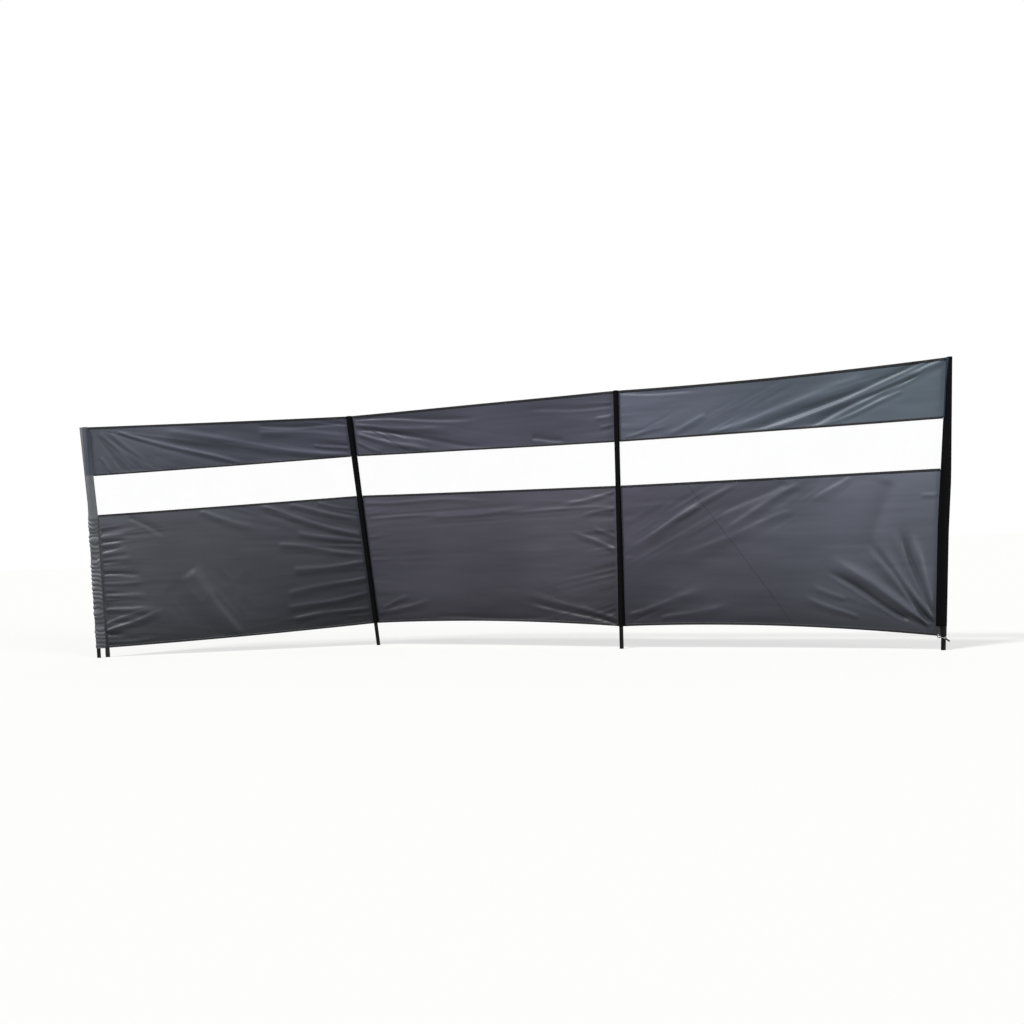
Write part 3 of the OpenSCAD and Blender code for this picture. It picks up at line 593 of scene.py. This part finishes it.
def gridMesh(name, columns, rows, place, size):
    # a flat grid, whose points go to place(u, v), with u and v from 0 to 1; size is its flat size in metres
    bm = bmesh.new()
    bm.loops.layers.uv.new("UVMap")
    bmesh.ops.create_grid(bm, x_segments=columns, y_segments=rows, size=0.5)
    mesh = bpy.data.meshes.new(name)
    bm.to_mesh(mesh)
    bm.free()
    flat = np.empty(len(mesh.vertices) * 3, np.float32)
    mesh.vertices.foreach_get("co", flat)
    flat = flat.reshape(-1, 3).astype(float)
    u, v = flat[:, 0] + 0.5, flat[:, 1] + 0.5
    points, notes = place(u, v)
    mesh.vertices.foreach_set("co", points.astype(np.float32).ravel())
    corners = np.empty(len(mesh.loops), np.int32)
    mesh.loops.foreach_get("vertex_index", corners)
    uv = np.stack([u * size[0], v * size[1]], 1)[corners]
    mesh.uv_layers["UVMap"].data.foreach_set("uv", uv.astype(np.float32).ravel())
    for note, values in notes.items():
        kind, field = ("FLOAT", "value") if values.ndim == 1 else ("FLOAT_VECTOR", "vector")
        layer = mesh.attributes.new(note, kind, "POINT")
        layer.data.foreach_set(field, values.astype(np.float32).ravel())
    mesh.shade_smooth()
    return mesh


def dressed(name, mesh, material, nodes, thick=0.0):
    piece = shown(name, mesh)
    mesh.materials.append(material)
    if thick:
        wall = piece.modifiers.new("thickness", "SOLIDIFY")
        wall.thickness, wall.offset = thick, 0.0
    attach(piece, "root")
    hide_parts(*nodes)
    return piece


def sewnNote(fromEdge, run):  # how far a point of a strip lies from its nearer long edge and along it, metres
    return np.stack([fromEdge, run, 0 * run], 1)


def clothSheet(name, bay, edges, cellMm, material, node):
    middle = np.array([0.5])
    low, high = [edge(bay, middle) for edge in edges]
    height = float((high - low)[0])

    def ends(z):  # a bay runs from pole to pole, and at the row's ends on to the edges of their sleeves
        return (-reach(0, -1, z) / span if bay == 0 else 0 * z,
                1 + (reach(3, 1, z) / span if bay == 2 else 0 * z))

    width = span * float(np.subtract(*ends(low + height / 2)[::-1])[0])

    def place(u, v):
        t = mixed(*ends(mixed(edges[0](bay, u), edges[1](bay, u), v)), u)
        z = mixed(edges[0](bay, t), edges[1](bay, t), v)
        lift = foldHeight(bay, t, z)
        # the fold height also goes to the finish, as painted highlight on crests and painted shade in hollows
        return clothPoints(bay, t, z, lift), {"paintedFoldShade": np.clip(lift / 0.006, -1, 1)}

    cells = [max(3, round(side * 1000 / cellMm)) for side in (width, height)]
    mesh = gridMesh(name, *cells, place, (width, height))
    return dressed(name, mesh, material, [node], row["clothThick"]), (width, height)


def stripEnds(bay, low, high):  # the cloth that is free between two sleeves, over some heights at each pole
    first, last = [max(float(clearShare(pole, side, z)) for z in np.linspace(low[k], high[k], 5))
                   for k, (pole, side) in enumerate(((bay, 1), (bay + 1, -1)))]
    return [first, 1 - last]


def seamTape(name, bay, lowEdge, node):
    lows = lowEdge(bay, np.array([0.0, 1.0]))
    ends = stripEnds(bay, lows, lows + row["tapeWidth"])
    width = span * (ends[1] - ends[0])

    def place(u, v):
        t = mixed(ends[0], ends[1], u)
        z = lowEdge(bay, t) + v * row["tapeWidth"]
        crown = sewing["tapeLift"] + sewing["tapeCrown"] * np.sin(math.pi * v) ** 0.7
        points = clothPoints(bay, t, z, foldHeight(bay, t, z) + tapeStep + crown)
        return points, {"sewn": sewnNote(np.minimum(v, 1 - v) * row["tapeWidth"], u * width)}

    mesh = gridMesh(name, round(width * 1000 / clothGrid["tapeCellMm"]), 6, place, (width, row["tapeWidth"]))
    return dressed(name, mesh, tapeBlack, [node], row["tapeThick"])


def edgeBinding(name, bay, edge, side, node):  # tape folded over a top edge, side 1, or a hem, side -1
    leaf, bend = row["hemWidth"], math.pi * tapeStep
    around = 2 * leaf + bend
    edges = edge(bay, np.array([0.0, 1.0]))
    ends = stripEnds(bay, edges - (leaf if side > 0 else 0), edges + (leaf if side < 0 else 0))
    if side < 0 and bay == 2:               # under the fourth sleeve the hem runs on to the pole
        ends[1] = 1 - (row["poleRadius"] + 2 * row["sideGap"]) / span
    width = span * (ends[1] - ends[0])

    def place(u, v):
        t = mixed(ends[0], ends[1], u)
        # 35 rows in 100 on each flat leaf, and the other 30 round the fold
        s = np.interp(v, [0, 0.35, 0.65, 1], [0, leaf, leaf + bend, around])
        turn = np.clip((s - leaf) / bend, 0, 1) * math.pi
        off = np.where(s < leaf, leaf - s, s - leaf - bend)
        off = np.where((s < leaf) | (s > leaf + bend), off, -tapeStep * np.sin(turn))
        puff = sewing["hemPuff"] * np.sin(math.pi * np.clip(np.abs(off) / (leaf * 0.8), 0, 1))
        z = edge(bay, t) - side * off
        layer = foldHeight(bay, t, z) + (tapeStep + puff) * np.cos(turn)
        return clothPoints(bay, t, z, layer), {"sewn": sewnNote(np.minimum(s, around - s), u * width)}

    mesh = gridMesh(name, round(width * 1000 / clothGrid["hemCellMm"]), 16, place, (width, around))
    if side > 0:
        mesh.flip_normals()
    return dressed(name, mesh, tapeBlack, [node], row["tapeThick"])


def raised(edge, step):  # a line that runs above an edge, or below it where the step is negative
    return lambda bay, t: edge(bay, t) + step


sillTapeLow, sillMinus = [raised(sillZ, -share * row["tapeWidth"]) for share in (1, 0.5)]
lintelPlus = raised(lintelZ, row["tapeWidth"] / 2)
for bay in range(3):
    n = str(bay + 1)
    lowerTape = seamTape("lowerTape" + n, bay, sillTapeLow, "lower_tape_" + n)
    upperTape = seamTape("upperTape" + n, bay, lintelZ, "upper_tape_" + n)
    bottomHem = edgeBinding("bottomHem" + n, bay, hemZ, -1, "bottom_hem_" + n)
    topHem = edgeBinding("topHem" + n, bay, topZ, 1, "top_hem_" + n)
    panel, flat = clothSheet("lowerPanel" + n, bay, (hemZ, sillMinus), clothGrid["cellMm"],
                             lowerCloth[bay], "lower_panel_" + n)
    band, flat = clothSheet("topBand" + n, bay, (lintelPlus, topZ), clothGrid["cellMm"],
                            bandCloth[bay], "top_band_" + n)
    film, flat = clothSheet("windowFilm" + n, bay, (sillMinus, lintelPlus), clothGrid["filmCellMm"],
                            vinyl, "window_" + n)
print("cloth of the three bays made")


# sleeves
sleeveLook = {
    "across": 40, "cellMm": (3.5, 7.0, 7.0, 7.0), "capMm": 2.5, "capRows": 7,
    "topGap": 0.0006,                                        # from the pole's top down to the sleeve's
    # how far the cloth stands off its pole in ripples, mm, how long a ripple is up the pole, and how wide, mm
    "ripple": (0.4, 0.6, 0.3, 0.8), "rippleMm": (40, 70, 60, 80), "rippleAcross": 26, "fineRippleAcross": 14,
    # the first sleeve is gathered below the window: height and step of its gathers up the pole, mm, and over
    # what width and height they drift up and down, and get higher and lower
    "gathers": (9.0, 0, 0, 0), "gatherMm": 29, "gatherDrift": (34, 52), "gatherChange": (60, 33),
    "gatherStart": 0.02, "gatherFade": 0.06,                 # from the sill up, and downwards, in metres
    "flatEdges": (0.012, 0.010),                             # over these it gets flat at its left and right
    # the next value: how high a ripple or gather is whose painted highlight shows fully
    "fullFoldShadeHeight": (0.0045, 0.0012, 0.0012, 0.0012),          # how high a ripple or gather is that shows fully
    # where the bay's own cloth is turned over the sleeve above the window: from which place along the section
    # to which, mm from its left edge, at the window and at the top
    "turned": {0: ((20, 90), (26, 90)), 3: ((0, 8), (0, 30))}, "turnedFrom": 1.11,
}


def turnAt(bay, z):
    way = axisAt(bay + 1, z) - axisAt(bay, z)
    return math.atan2(way[1], way[0])


def seamLine(pole, a, z):  # the cloth's front face beside a pole, a metres along from the pole's middle
    bay = max(pole - 1, 0) if a < 0 else min(pole, 2)
    drift = turnAt(bay, z) - math.atan2(along[pole][1], along[pole][0])
    atPole = (row["poleRadius"] + row["play"]) / math.cos(math.radians(halfBend[pole]))
    return row["seamPlay"] - atPole - a * math.tan(drift)


def runsAlong(line):  # how far each point of a line lies from its start
    return np.concatenate([[0], np.cumsum(np.linalg.norm(np.diff(line, axis=0), axis=1))])


def sleeveSection(pole, z, count):
    # from the left edge along the cloth, straight to the pole, round its front, and so on to the right edge
    r = row["poleRadius"] + row["play"]
    halves = []
    for side in (1, -1):
        out, off = float(reach(pole, side, z)), float(stand(pole, side, z))
        fold = out - min(row["sewnEdge"], 0.75 * off)
        start = np.array([fold, seamLine(pole, side * fold, z)])
        bearing = math.atan2(start[1], start[0]) + math.acos(r / np.linalg.norm(start))
        angles = np.linspace(bearing, math.pi / 2, 12)
        points = [(out, seamLine(pole, side * out, z)), tuple(start)]
        points += [(r * math.cos(a), r * math.sin(a)) for a in angles]
        halves.append([(side * x, y) for x, y in points])
    line = np.array(halves[1][:-1] + halves[0][::-1])
    runs = runsAlong(line)
    even = np.linspace(0, runs[-1], count)
    line = np.stack([np.interp(even, runs, line[:, k]) for k in (0, 1)], 1)
    for _ in range(2):                                       # soft cloth has no sharp inner corner
        line[1:-1] = (line[:-2] + 2 * line[1:-1] + line[2:]) / 4
    way = np.gradient(line, axis=0)
    out = np.stack([-way[:, 1], way[:, 0]], 1)
    return line, out / np.linalg.norm(out, axis=1)[:, None], runs[-1]


def sleeveHills(share, z, cellMm, cellUpMm, seed):  # noise across a sleeve at a height, as if 60 mm wide
    return softNoise(share * 60, np.full(len(share), z * 1000), cellMm, cellUpMm, seed)


def sleeveRelief(pole, z, share, run):
    # how far the cloth stands out in ripples and gathers, in mm, and how much it is gathered at this height
    rippleMm = sleeveLook["rippleMm"][pole]
    wave = sleeveHills(share, z, sleeveLook["rippleAcross"], rippleMm, 40 + pole)
    wave = wave + 0.5 * sleeveHills(share, z, sleeveLook["fineRippleAcross"], rippleMm / 2.4, 50 + pole)
    ripples = sleeveLook["ripple"][pole] * (0.5 + 0.5 * np.clip(wave, -1, 1.4))
    drift = 1.8 * sleeveHills(share, z, *sleeveLook["gatherDrift"], 60 + pole)
    gathered = smooth((float(sillZ(0, 0)) + sleeveLook["gatherStart"] - z) / sleeveLook["gatherFade"])
    gathers = np.abs(np.sin(math.pi * z * 1000 / sleeveLook["gatherMm"] + drift)) ** 0.8 * gathered
    gathers = gathers * (0.65 + 0.5 * sleeveHills(share, z, *sleeveLook["gatherChange"], 70 + pole))
    # the outer edge of the row's first sleeve is flat twice as far in
    flatLeft, flatRight = sleeveLook["flatEdges"]
    flat = smooth(share * run / flatLeft - (1.0 if pole == 0 else 0)) * smooth((1 - share) * run / flatRight)
    return (ripples + sleeveLook["gathers"][pole] * gathers) * flat, gathered


def turnedOver(pole, z, share, run):  # 1 where the bay's own cloth is turned over the sleeve
    if pole not in sleeveLook["turned"]:
        return 0 * share
    low, high = sleeveLook["turned"][pole]
    rise = (z - sleeveLook["turnedFrom"]) / (tall - sleeveLook["turnedFrom"])
    first, last = [mixed(low[j], high[j], rise) / 1000 for j in (0, 1)]
    above = smooth((z - lintelZ(min(pole, 2), pole // 3)) / 0.01)
    soft = 0.004                                             # over this length its edge fades
    return above * smooth((share * run - first) / soft + 0.5) * smooth((last - share * run) / soft + 0.5)


def sleeve(pole, material):
    n, count, capRows = str(pole + 1), sleeveLook["across"], sleeveLook["capRows"]
    foot, half = row["hemGap"][pole] + row["sleeveLift"][pole], row["clothThick"] / 2
    rows = round((tall - foot) * 1000 / sleeveLook["cellMm"][pole])
    flat = (float(sleeveSection(pole, tall / 2, count)[2]), tall - foot)
    share = np.linspace(0, 1, count)

    def place(u, v):
        us = np.round(u * (count - 1)).astype(int)
        vs = np.round(v * (rows + capRows)).astype(int)
        points = np.zeros((len(u), 3))
        paintedFoldShade, turned = np.zeros((2, len(u)))
        for k in range(rows + capRows + 1):
            pick = vs == k
            at = us[pick]
            over = max(0, k - rows) / capRows                # the top folds back to the cloth
            z = mixed(foot, tall - sleeveLook["topGap"], min(k / rows, 1.0))
            line, out, run = sleeveSection(pole, z, count)
            relief, gathered = sleeveRelief(pole, z, share, run)
            relief = 0.001 * relief * (1 - over)
            line = line + out * (half + relief)[:, None]
            back = np.array([seamLine(pole, a, z) for a in line[:, 0]]) + half
            line[:, 1] = mixed(line[:, 1], back, 1 - math.cos(over * math.pi / 2))
            here = axisAt(pole, z) + np.outer(line[:, 0], along[pole]) + np.outer(line[:, 1], front[pole])
            here[:, 2] += 0.001 * sleeveLook["capMm"] * math.sin(over * math.pi / 2) * (1 - 0.5 * over)
            points[pick] = here[at]
            # painted highlight where the sleeve's ripples and gathers stand out, painted shade between them
            rolled = relief[at] / sleeveLook["fullFoldShadeHeight"][pole]
            paintedFoldShade[pick] = rolled - 0.7 if pole else mixed(0.15, rolled - 0.75, gathered)
            turned[pick] = turnedOver(pole, z, share, run)[at]
        return points, {"paintedFoldShade": np.clip(paintedFoldShade, -1, 1), "turned": turned}

    mesh = gridMesh("sleeve" + n, count - 1, rows + capRows, place, flat)
    piece = dressed("sleeve" + n, mesh, material, ["sleeve_" + n, "sleeve_cap_" + n],
                    row["clothThick"])


sleeve(0, sunPaintedSleeve)
for pole in (1, 2, 3):
    sleeve(pole, sleeveEnd if pole == 3 else sleeveBlack)
for pole in range(4):
    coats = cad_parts["pole_" + str(pole + 1)].data.materials
    coats.clear()
    coats.append(poleCoat)
print("sleeves and poles made")


# the corner at the fourth pole: tab, ring, tie cord, knot and toggle; and the strap at the first pole
corner = {
    "ringD": 0.019, "wireD": 0.0036, "loopPlay": 0.0004,
    "tabThick": 0.001, "tabWidth": 0.010, "loopWidth": 0.005,
    "cordD": 0.003, "knotR": 0.006, "knotPull": 0.0015,
    "toggleD": 0.008, "toggleLength": 0.022, "toggleDroop": 125,
    "strapMiddle": 0.046, "strapWidth": 0.025, "strapThick": 0.0024, "strapUp": 0.045,
    "tabLength": 0.09, "strapLength": 0.2,                   # laid flat, for their weave
    "wallShare": 0.9,       # folded webbing is made a little thinner, so that its leaves don't touch
}
wireR = corner["wireD"] / 2
ringR = corner["ringD"] / 2 - wireR
loopR = wireR + corner["loopPlay"] + corner["tabThick"]
hemFace = -(row["poleRadius"] + row["play"]) + row["tapeThick"] + row["seamPlay"]
ringY = hemFace + loopR
poleReach = math.sqrt(row["poleRadius"] ** 2 - min(ringY + wireR, 0) ** 2)
ringX = -(poleReach + row["sideGap"] + corner["ringD"] / 2)
ringZ = row["hemGap"][3]
cornerTurn = math.degrees(turnAt(2, ringZ))
sideways, forwards, upwards = heading(cornerTurn), -heading(cornerTurn + 90), np.array([0.0, 0.0, 1.0])


def cornerPoint(x, y, up):  # sideways, to the front and up from the pole's middle at the ring's height
    return axisAt(3, ringZ + up) + np.multiply.outer(x, sideways) + np.multiply.outer(y, forwards)


def matrixFor(origin, xAxis, yAxis, zAxis):
    return Matrix([[*line] for line in zip(xAxis, yAxis, zAxis, origin)] + [[0, 0, 0, 1]])


def finishedMesh(name, bm):
    bmesh.ops.remove_doubles(bm, verts=bm.verts, dist=1e-6)
    bmesh.ops.recalc_face_normals(bm, faces=bm.faces)
    mesh = bpy.data.meshes.new(name)
    bm.to_mesh(mesh)
    bm.free()
    mesh.shade_smooth()
    return mesh


def spunMesh(name, bm, matrix, steps):  # what bm holds, turned once round its own height
    bmesh.ops.spin(bm, geom=list(bm.verts) + list(bm.edges), cent=(0, 0, 0), axis=(0, 0, 1),
                   angle=2 * math.pi, steps=steps, use_merge=True)
    bmesh.ops.transform(bm, matrix=matrix, verts=bm.verts)
    return finishedMesh(name, bm)


def tubeMesh(name, line, radius, sides=12):
    # a circle pulled along a line, with UV in metres round it and along it
    bm = bmesh.new()
    uvLayer = bm.loops.layers.uv.new("UVMap")
    ways = np.gradient(line, axis=0)
    ways = ways / np.linalg.norm(ways, axis=1)[:, None]
    flat = np.cross(ways[0], [0.3, 0.2, 1.0])
    frames = []
    for point, way in zip(line, ways):
        flat = unit(flat - way * np.dot(flat, way))
        frames.append(matrixFor(point, flat, np.cross(way, flat), way))
    ring = bmesh.ops.create_circle(bm, segments=sides, radius=radius)["verts"]
    bmesh.ops.transform(bm, matrix=frames[0], verts=ring)
    edges = list(bm.edges)
    for before, after in zip(frames[:-1], frames[1:]):
        made = bmesh.ops.extrude_edge_only(bm, edges=edges)["geom"]
        ring = [v for v in made if isinstance(v, bmesh.types.BMVert)]
        edges = [e for e in made if isinstance(e, bmesh.types.BMEdge)
                 and e.verts[0] in ring and e.verts[1] in ring]
        bmesh.ops.transform(bm, matrix=after @ before.inverted(), verts=ring)
    bm.verts.index_update()
    runs = runsAlong(line)
    for face in bm.faces:
        places = [(v.index // sides, v.index % sides) for v in face.verts]
        wraps = max(p[1] for p in places) - min(p[1] for p in places) > sides / 2
        for loop, (step, side) in zip(face.loops, places):
            side = side + sides if wraps and side < sides / 2 else side
            loop[uvLayer].uv = (side / sides * 2 * math.pi * radius, runs[step])
    bmesh.ops.holes_fill(bm, edges=bm.edges, sides=0)
    return finishedMesh(name, bm)


def softLine(points, steps):  # a smooth line through points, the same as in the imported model
    points = [np.array(p, float) for p in points]
    last, made = len(points) - 1, []
    for k in range(last):
        p, q, r, s = points[max(k - 1, 0)], points[k], points[k + 1], points[min(k + 2, last)]
        for t in np.arange(steps) / steps:
            made.append(0.5 * (2 * q + (r - p) * t + (2 * p - 5 * q + 4 * r - s) * t * t
                               + (3 * q - p - 3 * r + s) * t ** 3))
    return np.array(made + [points[last]])


wire = bmesh.new()
bmesh.ops.create_circle(wire, segments=18, radius=wireR)
upright = Matrix.Translation((ringR, 0, 0)) @ Matrix.Rotation(math.pi / 2, 4, "X")
bmesh.ops.transform(wire, matrix=upright, verts=wire.verts)
ringPlace = matrixFor(cornerPoint(ringX, ringY, 0), sideways, upwards, forwards)
dressed("cornerRing", spunMesh("cornerRing", wire, ringPlace, 64), zinc, ["corner_ring"])

cordR = corner["cordD"] / 2
wrapR = row["poleRadius"] + row["play"] + cordR
cordLow = -ringR + wireR + cordR + row["play"]
knotAt = np.array([0.005, wrapR + corner["knotR"] - cordR, -0.006])
route = [
    (knotAt[0] - corner["knotR"], wrapR + 0.0005, -0.0055), (-0.008, wrapR - 0.0015, -0.0045),
    (-0.014, wrapR - 0.006, cordLow), (ringX + 0.001, ringY + 0.008, cordLow), (ringX, ringY, cordLow),
    (ringX + 0.001, ringY - 0.006, cordLow), (-0.013, -wrapR, -0.005), (-0.005, -wrapR - 0.0005, -0.006),
    (0.005, -wrapR, -0.006), (wrapR - 0.002, -0.007, -0.006), (wrapR + 0.0005, 0.001, -0.006),
    (wrapR - 0.0015, 0.008, -0.006), (knotAt[0] + corner["knotR"] - 0.0005, wrapR, -0.006)]
cordLine = cornerPoint(*softLine(route, 7).T)
dressed("tieCord", tubeMesh("tieCord", cordLine, cordR), cordWhite, ["tie_cord"])

angles = np.linspace(0.25, 2 * math.pi + 0.15, 90)          # an overhand knot, pulled tight
knot = np.array([np.sin(angles) + 2 * np.sin(2 * angles), -0.9 * np.sin(3 * angles),
                 np.cos(angles) - 2 * np.cos(2 * angles)])
knotLine = cornerPoint(*(knotAt[:, None] + corner["knotPull"] * knot))
dressed("tieKnot", tubeMesh("tieKnot", knotLine, cordR * 0.98), cordWhite, ["tie_knot"])

droop = math.radians(corner["toggleDroop"])
tailWay = sideways * math.sin(droop) + upwards * math.cos(droop)
tailSide = unit(np.cross(tailWay, forwards))
start = cornerPoint(*knotAt) + tailWay * (corner["knotR"] - 0.001)
r, length = corner["toggleD"] / 2, corner["toggleLength"] + 0.001
profile = [             # radius and height, from the knot to the free end
    (0, 0), (r * 0.55, 0), (r * 0.8, r * 0.12), (r * 0.94, r * 0.4), (r, r * 0.9), (r * 0.93, length * 0.42),
    (r * 0.9, length * 0.5), (r * 0.93, length * 0.58), (r, length - r * 1.2), (r * 0.95, length - r * 0.6),
    (r * 0.78, length - r * 0.25), (r * 0.45, length - r * 0.05), (0, length)]
barrel = bmesh.new()
points = [barrel.verts.new((x, 0, h)) for x, h in profile]
for pair in zip(points[:-1], points[1:]):
    barrel.edges.new(pair)
togglePlace = matrixFor(start, tailSide, np.cross(tailWay, tailSide), tailWay)
dressed("tieToggle", spunMesh("tieToggle", barrel, togglePlace, 40), toggleBlack, ["tie_toggle"])


def cornerTab(u, v):
    # webbing from under the hem, down to the ring, round its wire and up again over itself
    down, wrap = row["sleeveLift"][3] - ringR - row["play"], 1.72 * math.pi
    mid = loopR - corner["tabThick"] / 2
    s = v * (down + wrap * mid + down * 0.78)
    turn = np.clip((s - down) / mid, 0, wrap)
    upAgain = np.clip(s - down - wrap * mid, 0, None)
    y = np.where(s < down, mid, mid * np.cos(turn))          # turn is 0 at the cloth's side
    z = np.where(s < down, down - s, -mid * np.sin(turn))
    closed = mixed(mid * math.cos(wrap), mid - corner["tabThick"] * 1.05, smooth(upAgain / 0.004))
    y = np.where(upAgain > 0, closed, y)
    z = np.where(upAgain > 0, upAgain - mid * math.sin(wrap), z)
    width = mixed(corner["loopWidth"], corner["tabWidth"], smooth((z - 0.001) / 0.007))
    points = cornerPoint(ringX + (u - 0.5) * width, ringY - y, ringR + z)
    return points, {"sewn": sewnNote(np.minimum(u, 1 - u) * width, s)}


tabMesh = gridMesh("cornerTab", 10, 90, cornerTab, (corner["tabWidth"], corner["tabLength"]))
dressed("cornerTab", tabMesh, webTab, ["corner_tab"], corner["tabThick"] * corner["wallShare"])


def pegStrap(u, v):
    # webbing folded double at the ground and sewn on the back of the cloth
    leaf, half = row["hemGap"][0] + corner["strapUp"], corner["strapThick"] / 4
    bend = math.pi * half
    s = v * (2 * leaf + bend)
    turn = np.clip((s - leaf + half) / half, 0, math.pi)
    z = np.where(turn < math.pi, half - half * np.sin(turn), s - leaf - bend + half)
    z = np.clip(np.where(s < leaf - half, leaf - s, z), half * 0.3, leaf)
    opened = np.sin(math.pi * np.clip(z / (row["hemGap"][0] - row["hemWidth"]), 0, 1)) * 0.0016
    middle = -(row["clothThick"] / 2 + row["tapeThick"] + row["seamPlay"]) - corner["strapThick"] / 2
    layer = middle + (half + opened) * np.cos(turn)
    width = corner["strapWidth"]
    points = clothPoints(0, (corner["strapMiddle"] + (u - 0.5) * width) / span, z, layer)
    return points, {"sewn": sewnNote(np.minimum(u, 1 - u) * width, s)}


strapMesh = gridMesh("pegStrap", 12, 90, pegStrap, (corner["strapWidth"], corner["strapLength"]))
leafThick = corner["strapThick"] / 2 * corner["wallShare"]
dressed("pegStrap", strapMesh, webBlack, ["peg_strap"], leafThick)
print("corner and strap made")


# floor, light and camera
studio = {
    "floor": "#8c8c8a", "floorReach": 60.0, "glow": 0.66, "world": 0.31,
    # each lamp's strength, where it shines from, and how wide it looks, in degrees
    "lamps": {"key": (3.1, (-0.38, -0.42, 0.82), 10.0), "side": (1.2, (0.80, -0.48, 0.32), 20.0)},
}

for lampName, (strength, comesFrom, degrees) in studio["lamps"].items():
    lamp = bpy.data.lights.new(lampName, "SUN")
    lamp.energy, lamp.angle = strength, math.radians(degrees)
    shown(lampName, lamp).rotation_euler = Vector(comesFrom).to_track_quat("Z", "Y").to_euler()

floorFinish = newFinish("paleFloor")
seen = addNode(floorFinish, "LightPath")["Is Camera Ray"]
glow = addNode(floorFinish, "Math", (seen, studio["glow"]), operation="MULTIPLY")[0]
shaded(floorFinish, Base_Color=linearColour(studio["floor"]), Roughness=0.9, Specular_IOR_Level=0.0,
       Emission_Color=(1, 1, 1, 1), Emission_Strength=glow)
ground = bmesh.new()
bmesh.ops.create_grid(ground, x_segments=2, y_segments=2, size=studio["floorReach"])
floorMesh = bpy.data.meshes.new("floor")
ground.to_mesh(floorMesh)
ground.free()
floorMesh.materials.append(floorFinish)
shown("floor", floorMesh)

world = bpy.data.worlds.new("studioWorld")
bpy.context.scene.world = world
world.use_nodes = True
world.node_tree.nodes.clear()
ray = addNode(world, "LightPath")
plainRay = addNode(world, "Math", (ray["Is Camera Ray"], ray["Is Transmission Ray"]), operation="MAXIMUM")[0]
glows = [addNode(world, "Background", ((1, 1, 1, 1), strength))[0] for strength in (studio["world"], 1.0)]
sky = addNode(world, "MixShader", (plainRay, *glows))["Shader"]
addNode(world, "OutputWorld", (sky,))

view = {"place": (4.136, -5.4355, 0.599), "yaw": 15.577, "down": 1.591, "roll": 2.26, "lens": 36.84,
        "shiftY": 0.0584}
yaw, down, roll = (math.radians(view[k]) for k in ("yaw", "down", "roll"))
forward = np.array([-math.sin(yaw) * math.cos(down), math.cos(yaw) * math.cos(down), -math.sin(down)])
level = np.array([math.cos(yaw), math.sin(yaw), 0.0])
rise = np.cross(level, forward)
right = level * math.cos(roll) - rise * math.sin(roll)
above = level * math.sin(roll) + rise * math.cos(roll)
cameraData = bpy.data.cameras.new("camera")
cameraData.sensor_width, cameraData.sensor_fit, cameraData.lens = 36.0, "HORIZONTAL", view["lens"]
cameraData.shift_y = view["shiftY"]
camera = shown("camera", cameraData)
camera.matrix_world = matrixFor(view["place"], right, above, -forward)
bpy.context.scene.camera = camera
bpy.context.scene.view_settings.view_transform = "Standard"

print("scene ready")
